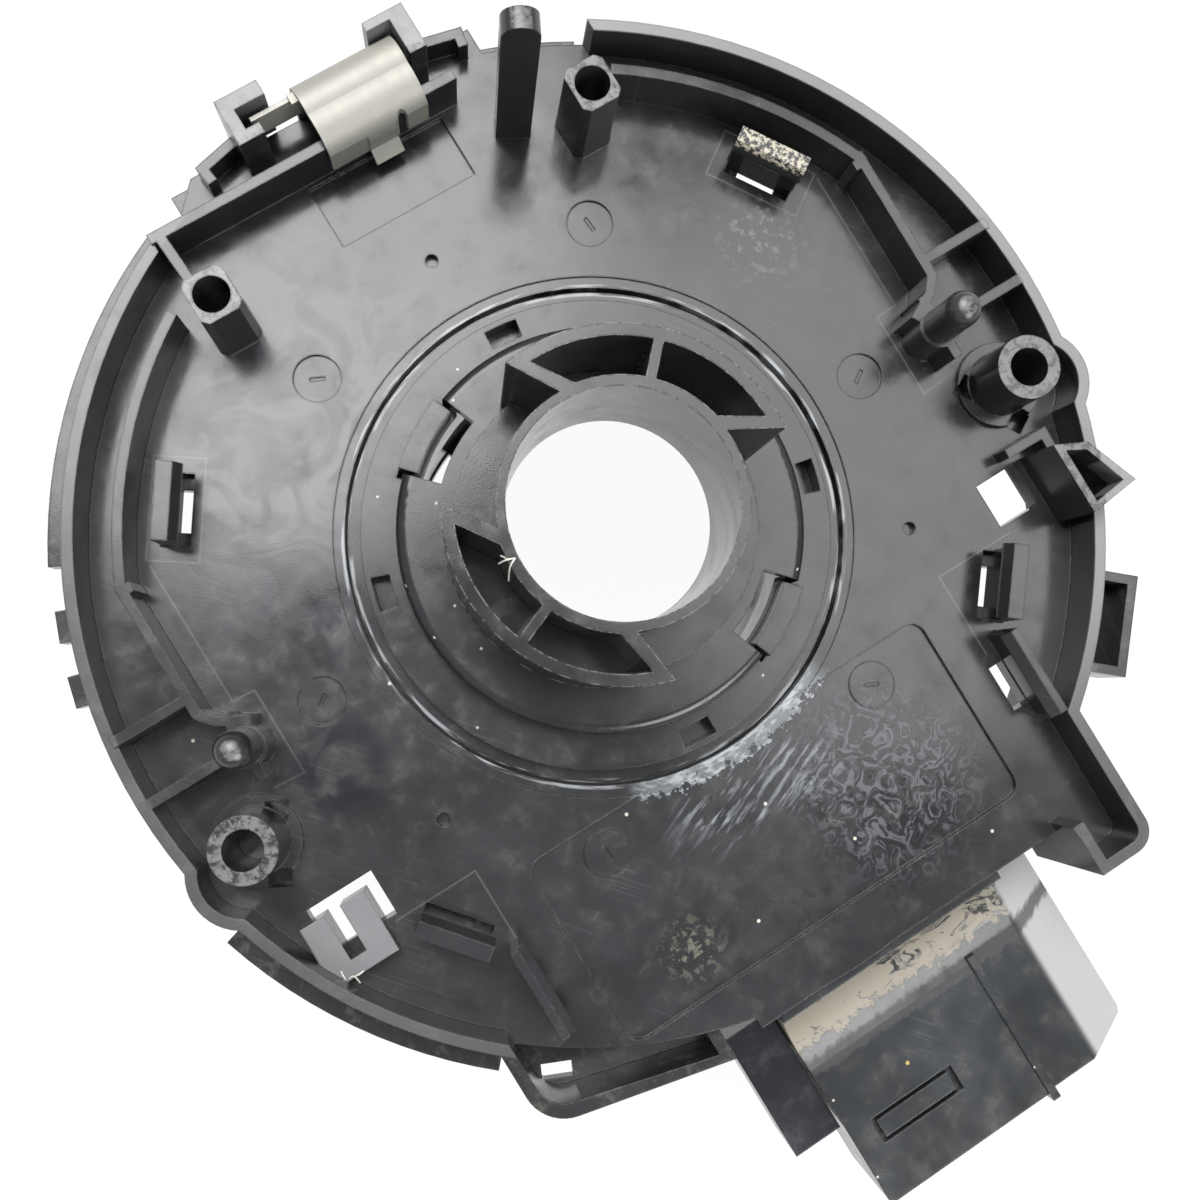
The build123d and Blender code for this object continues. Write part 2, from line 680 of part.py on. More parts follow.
def disc_ribs():
    """Ring rib and radial ribs under the disc."""
    with BuildSketch(Plane.XY.offset(disc_z)) as ribs:
        Circle(disc_rib_r)
        Circle(disc_rib_r - 1.2, mode=Mode.SUBTRACT)
        with PolarLocations((disc_rib_r + drum_r) / 2, 6):
            Rectangle(disc_rib_r - drum_r, 1.0)
    extrude(ribs.sketch, amount=-disc_rib_h)


with BuildPart() as front_rotor:
    with BuildSketch(Plane.XY.offset(disc_z)):
        Circle(rotor_r)
        Circle(rotor_bore_r, mode=Mode.SUBTRACT)
    extrude(amount=disc_t)
    with BuildSketch(Plane.XY.offset(floor_z)):
        Circle(drum_r)
        Circle(drum_r - drum_t, mode=Mode.SUBTRACT)
    extrude(amount=drum_h)
    disc_ribs()
    with BuildSketch(Plane.XY.offset(disc_z)):
        with Locations((-peg_x, 0), (peg_x, 0)):
            Circle(peg_r)
    extrude(amount=-foot_h)
    chamfer(front_rotor.faces().sort_by(Axis.Z)[:2].edges(), length=0.8)
    with BuildSketch(Plane.XY.offset(disc_z)):
        with Locations((-peg_x, 0), (peg_x, 0)):
            Circle(peg_foot_r)
    extrude(amount=-disc_rib_h)
    snap_tongues()
    with BuildSketch(Plane.XY.offset(disc_z)):
        for way in (1, -1):
            with Locations((0, way * tower_y)):
                Rectangle(tower_seat_w, tower_seat_d)
    extrude(amount=disc_t, mode=Mode.SUBTRACT)
front_rotor.part.label = "front_rotor"
export_step(front_rotor.part, "parts/front_rotor.step")


# CONNECTOR TOWERS on the wheel side, with their pins
def tower(way, socket_w, pin_count):
    """Socket that opens downwards and seats in the disc's cut-out."""
    with BuildSketch(Plane.XY.offset(foot_z)) as shell:
        with Locations((0, way * tower_y)):
            Rectangle(socket_w + 2 * tower_wall, tower_socket_d + 2 * tower_wall)
        fillet(shell.vertices(), radius=0.8)
    extrude(shell.sketch, amount=foot_h)
    with BuildSketch(Plane.XY.offset(disc_z)) as seat:
        with Locations((0, way * tower_y)):
            Rectangle(tower_seat_w - 2 * fit, tower_seat_d - 2 * fit)
    extrude(seat.sketch, amount=disc_t)
    with BuildSketch(Plane.XY.offset(foot_z)) as mouth:
        with Locations((0, way * tower_y)):
            Rectangle(socket_w, tower_socket_d)
    extrude(mouth.sketch, amount=foot_h - tower_wall, mode=Mode.SUBTRACT)
    with BuildSketch(Plane.XY.offset(foot_z)) as holes:
        with Locations((0, way * tower_y)):
            with GridLocations(tower_pitch, 1, pin_count, 1):
                Rectangle(pin_w, pin_w)
    extrude(holes.sketch, amount=floor_z - foot_z, mode=Mode.SUBTRACT)
    with BuildSketch(Plane.XY.offset(foot_z)) as key:
        with Locations((0, way * (tower_y + tower_socket_d / 2 + tower_wall))):
            Rectangle(*tower_key)
    extrude(key.sketch, amount=foot_h)


def tower_pins(way, pin_count):
    """Row of square pins that fills the holes of one tower."""
    with BuildSketch(Plane.XY.offset(foot_z + pin_sunk)) as row:
        with Locations((0, way * tower_y)):
            with GridLocations(tower_pitch, 1, pin_count, 1):
                Rectangle(pin_w, pin_w)
    extrude(row.sketch, amount=floor_z - foot_z - pin_sunk)


with BuildPart() as wheel_connector:
    tower(1, wheel_socket_w, wheel_pins)
wheel_connector.part.label = "wheel_connector"
export_step(wheel_connector.part, "parts/wheel_connector.step")

with BuildPart() as wheel_terminals:
    tower_pins(1, wheel_pins)
wheel_terminals.part.label = "wheel_terminals"
export_step(wheel_terminals.part, "parts/wheel_terminals.step")

with BuildPart() as airbag_connector:
    tower(-1, airbag_socket_w, airbag_pins)
airbag_connector.part.label = "airbag_connector"
export_step(airbag_connector.part, "parts/airbag_connector.step")

with BuildPart() as airbag_terminals:
    tower_pins(-1, airbag_pins)
airbag_terminals.part.label = "airbag_terminals"
export_step(airbag_terminals.part, "parts/airbag_terminals.step")

# ROTOR LEAD BLOCK inside the drum, where the inner end of the cable is joined
with BuildPart() as rotor_lead_block:
    with BuildSketch(Plane.XY.offset(floor_z)):
        sector(rotor_bore_r + lead_block_gap, tongue_r[0] - lead_block_gap, lead_block_a, lead_block_span)
    extrude(amount=lead_block_h)
    chamfer(rotor_lead_block.faces().sort_by(Axis.Z)[-1].edges(), length=0.3)
rotor_lead_block.part.label = "rotor_lead_block"
export_step(rotor_lead_block.part, "parts/rotor_lead_block.step")

# SLIDE SHEETS: thin film rings that the cable runs against
with BuildPart() as rear_slide_sheet:
    with BuildSketch(Plane.XY.offset(under_z - sheet_t)):
        Circle(sheet_r[1])
        Circle(sheet_r[0], mode=Mode.SUBTRACT)
    extrude(amount=sheet_t)
rear_slide_sheet.part.label = "rear_slide_sheet"
export_step(rear_slide_sheet.part, "parts/rear_slide_sheet.step")

with BuildPart() as front_slide_sheet:
    with BuildSketch(Plane.XY.offset(floor_z)):
        Circle(sheet_r[1])
        Circle(tower_y + tower_seat_d / 2 + 0.6, mode=Mode.SUBTRACT)
    extrude(amount=sheet_t)
front_slide_sheet.part.label = "front_slide_sheet"
export_step(front_slide_sheet.part, "parts/front_slide_sheet.step")

# ROLLER CARRIER: flat ring with a post for each roller
carrier_z = floor_z + sheet_t + 0.25
roller_z = carrier_z + carrier_t + 0.25
ribbon_z = carrier_z + carrier_t + 0.3
ribbon_h = sleeve_z - run_gap - ribbon_z
roller_h = sleeve_z - run_gap - 0.4 - roller_z

with BuildPart() as roller_carrier:
    with BuildSketch(Plane.XY.offset(carrier_z)):
        Circle(carrier_r[1])
        Circle(carrier_r[0], mode=Mode.SUBTRACT)
    extrude(amount=carrier_t)
    with BuildSketch(Plane.XY.offset(carrier_z + carrier_t)):
        with PolarLocations(roller_ring_r, roller_count, start_angle=roller_start_a):
            Circle(roller_bore_r - post_play)
    extrude(amount=roller_h + 0.5)
roller_carrier.part.label = "roller_carrier"
export_step(roller_carrier.part, "parts/roller_carrier.step")

for number in range(roller_count):
    at = polar(roller_ring_r, roller_start_a + number * 360 / roller_count)
    with BuildPart() as roller:
        with BuildSketch(Plane.XY.offset(roller_z)):
            with Locations(at):
                Circle(roller_r)
                Circle(roller_bore_r, mode=Mode.SUBTRACT)
        extrude(amount=roller_h)
        chamfer(roller.edges().filter_by(GeomType.CIRCLE).group_by(SortBy.RADIUS)[-1], length=0.5)
    roller.part.label = f"roller_{number + 1}"
    export_step(roller.part, f"parts/roller_{number + 1}.step")


# FLAT CABLE: turns on the case wall, turns on the drum, and the turn-back loop
def coil_face(start_r, pitch):
    """Spiral strip of one flat cable, seen from above, as half turns about two centres."""
    with BuildLine() as path:
        for half_turn in range(2 * coil_turns):
            side = 1 if half_turn % 2 else -1
            start_a = roller_start_a + 180 * half_turn
            radius = start_r + pitch / 4 + pitch * half_turn / 2
            CenterArc(polar(side * pitch / 4, roller_start_a), radius, start_a, 180)
    trace(path.edges(), line_width=ribbon_t)


coil_pitch = ribbon_t + ribbon_gap
outer_coil_r = case_r - 0.6 - coil_turns * coil_pitch
inner_coil_r = drum_r + 0.4

with BuildPart() as flat_cable_outer:
    with BuildSketch(Plane.XY.offset(ribbon_z)):
        coil_face(outer_coil_r, coil_pitch)
    extrude(amount=ribbon_h)
flat_cable_outer.part.label = "flat_cable_outer"
export_step(flat_cable_outer.part, "parts/flat_cable_outer.step")

with BuildPart() as flat_cable_inner:
    with BuildSketch(Plane.XY.offset(ribbon_z)):
        coil_face(inner_coil_r, coil_pitch)
    extrude(amount=ribbon_h)
flat_cable_inner.part.label = "flat_cable_inner"
export_step(flat_cable_inner.part, "parts/flat_cable_inner.step")

loop_r = roller_r + 0.35
loop_at = polar(roller_ring_r, roller_start_a)
with BuildPart() as flat_cable_loop:
    with BuildSketch(Plane.XY.offset(ribbon_z)):
        with Locations(loop_at):
            Circle(loop_r + ribbon_t)
            Circle(loop_r, mode=Mode.SUBTRACT)
        with Locations(Location((*loop_at, 0), (0, 0, roller_start_a))):
            with Locations((0, loop_r)):
                Rectangle(3 * loop_r, 2 * loop_r, mode=Mode.SUBTRACT)
    extrude(amount=ribbon_h)
flat_cable_loop.part.label = "flat_cable_loop"
export_step(flat_cable_loop.part, "parts/flat_cable_loop.step")


# FRONT CASE: cable wall, flange under the plate, skirt, gussets and side loop
def lower_outline(inset):
    """Outline of the flange and its skirt, with the ear at the lower left."""
    Circle(rim_r - inset)
    with Locations((bulge_x, bulge_y), (-bulge_x, bulge_y)):
        Circle(bulge_r - inset)
    box_between((box_x[0] + inset, box_x[1] - inset), (box_y + inset, box_y + 20))
    box_between((lug_x + inset, box_x[1] - inset), (lug_y + inset, box_y + 20))
    box_between((shelf_x[0] + inset, shelf_x[1] - inset), (shelf_y - 20, shelf_y - inset))
    ear_shape(inset)


def ear_shape(inset):
    """Rounded ear beside the connector."""
    with BuildSketch(mode=Mode.PRIVATE) as ear:
        with BuildLine():
            Polyline((ear_x[0] + inset, ear_y[0] + 15), (ear_x[0] + inset, ear_y[0] + inset),
                     (ear_x[1] - inset, ear_y[1] + inset), (ear_x[1] - inset, ear_y[0] + 15), close=True)
        make_face()
        corner = ear.vertices().group_by(Axis.X)[0].sort_by(Axis.Y)
        fillet(corner[0], radius=ear_fillet - inset)
    add(ear.sketch)


def under_windows(grow):
    """Openings below the windows of the plate."""
    for angle in windowed_hook_angles:
        with Locations(turned(hook_r - window_depth + window_reach / 2, angle)):
            Rectangle(window_reach, window_w, mode=Mode.SUBTRACT)
    wide_x = (side_window_x[0] - grow, side_window_x[1] + grow)
    box_between(wide_x, (side_window_y[0] + grow, side_window_y[1] - grow), mode=Mode.SUBTRACT)
    catch_y = (catch_window[2] + grow, catch_window[3] - grow)
    box_between((catch_window[0] - grow, catch_window[1] + grow), catch_y, mode=Mode.SUBTRACT)
    stub_window_x = outward_x((stub_slot_x[0] - grow, stub_slot_x[1] + grow))
    box_between(stub_window_x, (stub_slot_y[0] + grow, stub_slot_y[1]), mode=Mode.SUBTRACT)


def ear_pocket():
    """The ear is sunk below the flange, with a floor and one small opening."""
    with BuildSketch(Plane.XY.offset(under_z)) as sunk:
        ear_shape(skirt_t)
        Circle(ear_wall_r[1], mode=Mode.SUBTRACT)
        box_between((box_x[0] - skirt_t, 0), (-40, -60), mode=Mode.SUBTRACT)
    extrude(sunk.sketch, amount=-flange_case_t, mode=Mode.SUBTRACT)
    with BuildSketch(Plane.XY.offset(under_z - skirt_h)) as floor:
        add(sunk.sketch_local)
        with Locations(ear_hole_at):
            Rectangle(*ear_hole, rotation=-25, mode=Mode.SUBTRACT)
    extrude(floor.sketch, amount=flange_case_t)


def side_loop():
    """Box shaped loop on the right side of the skirt."""
    with BuildSketch(Plane.XY.offset(under_z - skirt_h + 1)) as shell:
        with Locations(turned((loop_reach[0] + loop_reach[1]) / 2, loop_angle)):
            Rectangle(loop_reach[1] - loop_reach[0], loop_w)
        Circle(rim_r - skirt_t / 2, mode=Mode.SUBTRACT)
    extrude(shell.sketch, amount=skirt_h - 1.6)
    with BuildSketch(Plane.XY.offset(under_z)) as pocket:
        with Locations(turned((rim_r + 0.6 + loop_reach[1] - 1) / 2, loop_angle)):
            Rectangle(loop_reach[1] - 1 - rim_r - 0.6, loop_w - 2)
    extrude(pocket.sketch, amount=-skirt_h + 2.2, mode=Mode.SUBTRACT)


with BuildPart() as front_case:
    with BuildSketch(Plane.XY.offset(under_z)):
        lower_outline(0)
        Circle(case_r, mode=Mode.SUBTRACT)
        under_windows(0.5)
    extrude(amount=-flange_case_t)
    with BuildSketch(Plane.XY.offset(under_z - skirt_h)):
        lower_outline(0)
        with BuildSketch(mode=Mode.PRIVATE) as skirt_inside:
            lower_outline(skirt_t)
        add(skirt_inside.sketch, mode=Mode.SUBTRACT)
    extrude(amount=skirt_h)
    with BuildSketch(Plane.XY.offset(under_z - skirt_h)):
        sector(*ear_wall_r, *ear_wall)
    extrude(amount=skirt_h)
    with BuildSketch(Plane.XY.offset(floor_z + run_gap)):
        Circle(case_r + case_t)
        Circle(case_r, mode=Mode.SUBTRACT)
    extrude(amount=cavity_h - run_gap)
    with BuildSketch(Plane.XY.offset(under_z - skirt_h + 1)):
        with PolarLocations((rim_r + case_r) / 2, gusset_count, start_angle=15):
            Rectangle(rim_r - case_r - case_t, gusset_t)
    extrude(amount=skirt_h - 1)
    with BuildSketch(Plane.XY.offset(plate_z + band_z[0])):
        for band_start, band_end, reach in bands:
            sector(rim_r - skirt_t / 2, rim_r + reach, band_start, band_end - band_start)
    extrude(amount=band_z[1] - band_z[0])
    with BuildSketch(Plane.XY.offset(plate_z + band_z[0] - 2)):
        for nub_angle in nub_angles:
            with Locations(turned(rim_r + 1.3, nub_angle)):
                Rectangle(nub_size[0], nub_size[1])
    extrude(amount=nub_size[2])
    ear_pocket()
    side_loop()
    with BuildSketch(Plane.XZ.offset(case_r - 3)):
        with Locations(((lead_x[0] + lead_x[1]) / 2, lead_z + lead_h / 2)):
            Rectangle(lead_x[1] - lead_x[0] + 2 * fit, lead_h + 2 * fit)
    extrude(amount=10, mode=Mode.SUBTRACT)
front_case.part.label = "front_case"
export_step(front_case.part, "parts/front_case.step")


# CONNECTOR HOUSING: sloped hood with two sockets for the harness plugs
hood_top_z = plate_z + hood_top
hood_low_z = hood_top_z - hood_h
hood_mid_x = sum(hood_x) / 2
hood_w = hood_x[1] - hood_x[0]


def socket(x_pair, drop_pair):
    """Rectangular socket that opens towards -Y."""
    with BuildSketch(Plane.XZ.offset(-hood_y[1])) as mouth:
        with Locations((sum(x_pair) / 2, plate_z + sum(drop_pair) / 2)):
            Rectangle(x_pair[1] - x_pair[0], drop_pair[1] - drop_pair[0])
    extrude(mouth.sketch, amount=-socket_depth, mode=Mode.SUBTRACT)


def pin_row(x_mid, count, pitch, width, thick):
    """Row of pin sections across the housing, drawn in the open sketch."""
    with Locations((x_mid, lead_z + lead_h - pin_t / 2)):
        with GridLocations(pitch, 1, count, 1):
            Rectangle(width, thick)


main_mid_x = sum(main_socket_x) / 2
small_mid_x = sum(small_socket_x) / 2

with BuildPart() as connector_housing:
    with BuildSketch(Plane.YZ.offset(hood_mid_x)):
        with BuildLine():
            lip = (hood_y[0] - 0.8, plate_z - 0.9)
            valley = (box_y + hood_valley[0], hood_top_z - hood_valley[1])
            Polyline(valley, (hood_slope_y, hood_top_z - 0.5), (hood_slope_y - 0.7, hood_top_z - 0.1),
                     (hood_slope_y - 1.7, hood_top_z), (hood_y[1], hood_top_z), (hood_y[1], hood_low_z),
                     (hood_y[0], hood_low_z), (hood_y[0], plate_z - 0.9), lip)
            ThreePointArc(lip, (lip[0] - 1.9, (lip[1] + valley[1]) / 2 - 0.9), valley)
        make_face()
    extrude(amount=hood_w / 2, both=True)
    chamfer(connector_housing.edges().filter_by(Axis.Z).sort_by(Axis.Y)[0:2], length=0.5)
    with BuildSketch(Plane.XZ.offset(-hood_y[0])):
        with BuildLine():
            bevel_z = hood_top_z - hood_bevel_drop
            side_z = hood_top_z - hood_side_drop
            Polyline((hood_bevel_x, plate_z), (hood_x[1] + 1, plate_z), (hood_x[1] + 1, bevel_z),
                     (hood_x[1], bevel_z), (hood_bevel_x, side_z), close=True)
        make_face()
    extrude(amount=hood_y[0] - hood_y[1], mode=Mode.SUBTRACT)
    with BuildSketch(Plane.XY.offset(hood_top_z)):
        box_between((hood_rib_x, hood_bevel_x), (hood_slope_y, hood_y[1]))
    extrude(amount=-hood_side_drop, mode=Mode.SUBTRACT)
    with BuildSketch(Plane.XZ.offset(-hood_slope_y)):
        with Locations((hood_rib_x, hood_top_z - hood_rib[1] / 2)):
            Rectangle(hood_rib[0], 2 * hood_rib[1])
    extrude(amount=hood_slope_y - hood_y[1] + hood_rib_nose)
    with BuildSketch(Plane.XY.offset(hood_top_z)):
        box_between(latch_slot[:2], latch_slot[2:])
        box_between(latch_tongue[:2], latch_tongue[2:], mode=Mode.SUBTRACT)
    extrude(amount=-slot_depth, mode=Mode.SUBTRACT)
    socket(main_socket_x, socket_drop)
    socket(small_socket_x, small_socket_drop)
    with BuildSketch(Plane.XZ.offset(-hood_y[0])):
        pin_row(main_mid_x, main_pins, main_pitch, pin_w, pin_t)
        pin_row(small_mid_x, small_pins, small_pitch, pin_w, pin_t)
    extrude(amount=hood_y[0] - hood_y[1] - socket_depth, mode=Mode.SUBTRACT)
connector_housing.part.label = "connector_housing"
export_step(connector_housing.part, "parts/connector_housing.step")

# SIDE CONNECTOR: small dark shell to the left of the hood
side_top_z = plate_z + side_shell_top
with BuildPart() as side_connector:
    with BuildSketch(Plane.XY.offset(side_top_z - side_shell_h)):
        box_between(side_shell_x, side_shell_y)
    extrude(amount=side_shell_h)
    with BuildSketch(Plane.XZ.offset(-side_shell_y[1])):
        with Locations((sum(side_shell_x) / 2, side_top_z - side_shell_h / 2)):
            Rectangle(side_socket_w, side_shell_h - 2)
    extrude(amount=-side_socket_depth, mode=Mode.SUBTRACT)
side_connector.part.label = "side_connector"
export_step(side_connector.part, "parts/side_connector.step")

# STATOR LEAD BLOCK: carries the terminal strips from the cable wall to the hood
with BuildPart() as stator_lead_block:
    with BuildSketch(Plane.XY.offset(lead_z)):
        box_between(lead_x, (-case_r - 0.1, hood_y[0]))
    extrude(amount=lead_h)
    with BuildSketch(Plane.XZ.offset(case_r)):
        pin_row(main_mid_x, main_pins, main_pitch, pin_w, pin_t)
    extrude(amount=-hood_y[0] - case_r, mode=Mode.SUBTRACT)
stator_lead_block.part.label = "stator_lead_block"
export_step(stator_lead_block.part, "parts/stator_lead_block.step")

# TERMINAL STRIPS that end as pins in the sockets
with BuildPart() as main_terminals:
    with BuildSketch(Plane.XZ.offset(case_r + 1.5)):
        pin_row(main_mid_x, main_pins, main_pitch, pin_w, pin_t)
    extrude(amount=-pin_end_y - case_r - 1.5)
main_terminals.part.label = "main_terminals"
export_step(main_terminals.part, "parts/main_terminals.step")

with BuildPart() as small_terminals:
    with BuildSketch(Plane.XZ.offset(-hood_y[0])):
        pin_row(small_mid_x, small_pins, small_pitch, pin_w, pin_t)
    extrude(amount=hood_y[0] - pin_end_y)
small_terminals.part.label = "small_terminals"
export_step(small_terminals.part, "parts/small_terminals.step")

# SPRING CLIP: bent sheet that straddles the straight rib and the ledge
clip_mid_x = sum(clip_x) / 2
clip_in_y = straight_rib_y - 1.3 - clip_tab
clip_top_z = plate_z + rib_h + 1.6

with BuildPart() as spring_clip:
    with BuildSketch(Plane.YZ.offset(clip_mid_x)):
        with BuildLine() as clip_path:
            foot_y = clip_in_y + clip_tab
            crest = (straight_rib_y + 2.4, clip_top_z)
            shoulder = (clip_drop_y, clip_top_z - 1.6)
            Polyline((clip_in_y, plate_z + 1.2), (foot_y, plate_z + 2.4), (foot_y + 0.1, plate_z + 3.4))
            ThreePointArc((foot_y + 0.1, plate_z + 3.4), (straight_rib_y - 0.5, clip_top_z - 0.9), crest)
            ThreePointArc(crest, (clip_drop_y - 0.7, clip_top_z - 0.4), shoulder)
            Polyline(shoulder, (clip_drop_y, under_z - 3), (clip_drop_y + 0.6, under_z - 4.6))
        trace(clip_path.edges(), line_width=clip_t)
    extrude(amount=(clip_x[1] - clip_x[0]) / 2, both=True)
    with BuildSketch(Plane.XY.offset(plate_z)):
        inner_edge = (clip_in_y - 1, clip_in_y + clip_tab)
        box_between((clip_x[0] - 1, clip_tab_x[0]), inner_edge)
        box_between((clip_tab_x[1], clip_x[1] + 1), inner_edge)
        with Locations((clip_notch[0], inner_edge[1])):
            RegularPolygon(clip_notch[1], 8)
    extrude(amount=clip_top_z - plate_z + 1, mode=Mode.SUBTRACT)
    with BuildSketch(Plane.XY.offset(plate_z + clip_arm_z[0])):
        box_between((clip_arm[0], clip_x[0] + 0.3), (clip_arm[2] - clip_t, clip_arm[2]))
    extrude(amount=clip_arm_z[1] - clip_arm_z[0])
    with BuildSketch(Plane.XY.offset(plate_z + clip_arm_z[1])):
        box_between((clip_x[0] - 0.7, clip_x[0] + 0.3), clip_arm[1:])
    extrude(amount=clip_t)
spring_clip.part.label = "spring_clip"
export_step(spring_clip.part, "parts/spring_clip.step")
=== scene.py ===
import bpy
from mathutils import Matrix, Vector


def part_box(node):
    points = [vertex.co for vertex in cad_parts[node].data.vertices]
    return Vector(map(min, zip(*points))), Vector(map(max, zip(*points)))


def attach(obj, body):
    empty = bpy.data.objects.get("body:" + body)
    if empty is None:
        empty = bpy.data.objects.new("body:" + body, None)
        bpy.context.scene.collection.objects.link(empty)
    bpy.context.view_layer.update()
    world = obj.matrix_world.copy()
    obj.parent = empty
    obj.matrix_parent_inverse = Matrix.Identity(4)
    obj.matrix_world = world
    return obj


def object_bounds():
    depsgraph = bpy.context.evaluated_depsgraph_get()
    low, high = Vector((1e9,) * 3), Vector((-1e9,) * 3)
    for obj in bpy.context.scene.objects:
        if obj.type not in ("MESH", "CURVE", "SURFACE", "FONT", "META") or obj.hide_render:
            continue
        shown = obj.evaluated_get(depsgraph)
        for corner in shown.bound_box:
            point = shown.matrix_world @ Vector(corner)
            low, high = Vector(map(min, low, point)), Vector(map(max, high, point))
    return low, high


bl_info = {
    "name": "Steering Clock Spring Finishes",
    "version": (1, 0, 0),
    "blender": (4, 5, 0),
    "location": "View3D > Sidebar > Clock Spring",
    "description": "Dresses the packed clock spring and sets up its studio",
    "category": "Object",
}

import math

import bpy
from bpy.props import FloatProperty, FloatVectorProperty, PointerProperty
from bpy.types import Operator, Panel, PropertyGroup
from mathutils import Vector

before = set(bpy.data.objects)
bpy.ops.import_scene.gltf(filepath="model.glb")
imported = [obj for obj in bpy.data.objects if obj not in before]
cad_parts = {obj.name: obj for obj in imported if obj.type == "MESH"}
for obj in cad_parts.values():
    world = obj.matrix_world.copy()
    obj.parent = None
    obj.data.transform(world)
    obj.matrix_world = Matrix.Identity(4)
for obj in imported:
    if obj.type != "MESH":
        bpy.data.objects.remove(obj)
CAD_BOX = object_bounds()

MM = 0.001

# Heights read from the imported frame, in millimetres
HOOD_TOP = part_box("connector_housing")[1].z / MM
PLATE_TOP = HOOD_TOP + 0.9
FLOOR_Z = CAD_BOX[0].z / MM
FLOOR_GAP = 0.2
FLOOR_REACH = 12000.0

# Heights above the plate, in millimetres
RIM_HEIGHT = 4.9
HOOK_HEIGHT = 5.2
BOSS_HEIGHT = 7.7
TUBE_HEIGHT = 21.0
STUB_HEIGHTS = (1.7, 2.3)

# Distances from the rotor axis, in millimetres
CAM_RIM_RADII = (13.6, 15.9)
COLLAR_RADII = (24.35, 24.8)
HUB_HOLE_RADIUS = 24.9
RIB_RADIUS = 43.0
RIM_RADIUS = 48.8

# The broken stub in the plan: lowest and highest X, then Y
STUB_X = (-44.2, -37.2)
STUB_Y = (-24.1, -16.3)

# The strokes' strip of the plate, as lowest and highest Y
STROKE_Y = (-33.5, -27.4)

# Arcs round the rotor axis in degrees, and where the grease ends in millimetres from the axis
GREASE_ANGLES = (-113.0, -64.0)
GREASE_END = (26.4, 26.7)
# The arc of the rim's top that gets the strongest painted highlight
RIM_HIGHLIGHT_ANGLES = (-45.0, 95.0)

# The hood's slope in millimetres. Depths run from its back edge to the front, and each pair
# but the ridge's is where a mark starts to fade and where it is gone, or where it comes in
DUST_TOP_DEPTH = (0.9, 1.3)
DUST_FOOT_DEPTH = (6.0, 6.6)
DUST_BELOW_PLATE = (11.0, 12.0)
DUST_SIDE_X = (17.6, 18.2)
BEVEL_X = (17.0, 18.0)
RIDGE_DEPTHS = (7.4, 8.9)

# Patches of dirt and wear, and one of painted sheen: X and Y of the centre, size and softness, in
# millimetres
PAINTED_SHEEN_PATCH = (-20.0, 22.0, 17.0, 15.0)
BLOTCH_PATCH = (-33.5, -6.5, 4.5, 2.2)
STROKE_PATCH = (0.0, -29.8, 8.0, 3.5)
SWIRL_PATCH = (11.5, -36.0, 8.5, 4.0)
POLISHED_PATCH = (-5.5, -38.0, 10.5, 4.5)
STAIN_PATCH = (-13.5, -39.8, 2.6, 2.0)
CRUMB_PATCH = (33.2, 22.7, 5.0, 0.5)
DUSTING_PATCH = (30.3, 17.2, 4.0, 3.0)
YELLOW_PATCH = (-0.5, -63.4, 0.2, 0.08)

# Colours of dirt and wear, and of the painted sheen and painted highlights, in linear light
SCRATCH_GREY = (0.11, 0.11, 0.11)
WORN_GREY = (0.20, 0.20, 0.195)
PARTING_GREY = (0.13, 0.13, 0.13)
# Painted sheen: a paler patch that stands in for the soft reflection of the light over the upper left of
# the plate
PAINTED_SHEEN_GREY = (0.10, 0.105, 0.115)
BLOTCH_BLACK = (0.004, 0.004, 0.006)
STROKE_GREY = (0.24, 0.25, 0.27)
SWIRL_GREY = (0.15, 0.155, 0.17)
SWIRL_BLACK = (0.004, 0.004, 0.005)
POLISHED_BLACK = (0.004, 0.005, 0.006)
STAIN_TAN = (0.12, 0.115, 0.085)
# Painted highlight: pale uneven lines along both sides of the hub hole's edge
EDGE_HIGHLIGHT_GREY = (0.34, 0.35, 0.36)
CRUMB_TAN = (0.42, 0.38, 0.30)
DUSTING_TAN = (0.36, 0.31, 0.25)
# Rim and boss tops painted lighter; on the rim's right side this is a painted highlight
RIM_GREY = (0.21, 0.21, 0.205)
BOSS_GREY = (0.20, 0.20, 0.19)
# Painted highlight on the broken stub's top face
STUB_HIGHLIGHT_GREY = (0.14, 0.14, 0.145)
PLATE_SPECK = (0.6, 0.58, 0.5)
HUB_SPECK = (0.52, 0.49, 0.40)
HOOD_SPECK = (0.5, 0.5, 0.48)
TUBE_LIP_TAN = (0.42, 0.40, 0.35)
CAM_RIM_TAN = (0.33, 0.31, 0.26)
# Painted highlight on the hood's sloped bevel where it faces the light, with a matt dusty finish
BEVEL_HIGHLIGHT_GREY = (0.33, 0.33, 0.325)
RIDGE_BLACK = (0.012, 0.012, 0.013)
SPECK_YELLOW = (0.42, 0.32, 0.08)
STEEL_STAIN = (0.34, 0.32, 0.25)
CABLE_TRACK = (0.70, 0.68, 0.60)

# Directions of the two sets of scratches in degrees, and their shifts in millimetres
SCRATCH_TURNS = (24.0, -51.0)
SCRATCH_SHIFTS = (0.0, 11.0)

# Soft lamps: name, place in metres, diameters in metres and brightness
LAMPS = (
    ("upper_left_glow", (0.012, 0.285, 0.62), (0.17, 0.29, 0.42), 8.6),
    ("right_glow", (0.26, -0.01, 0.62), (0.22, 0.38), 2.7),
    ("front_fill", (0.05, -0.55, 0.40), (0.45,), 2.5),
)
SKY_COLOR = (0.93, 0.96, 1.0, 1.0)
WHITE = (1.0, 1.0, 1.0, 1.0)

# Watts of a round lamp one metre across that looks as bright as a white sky
LAMP_WATTS = math.pi ** 3 / 4.0

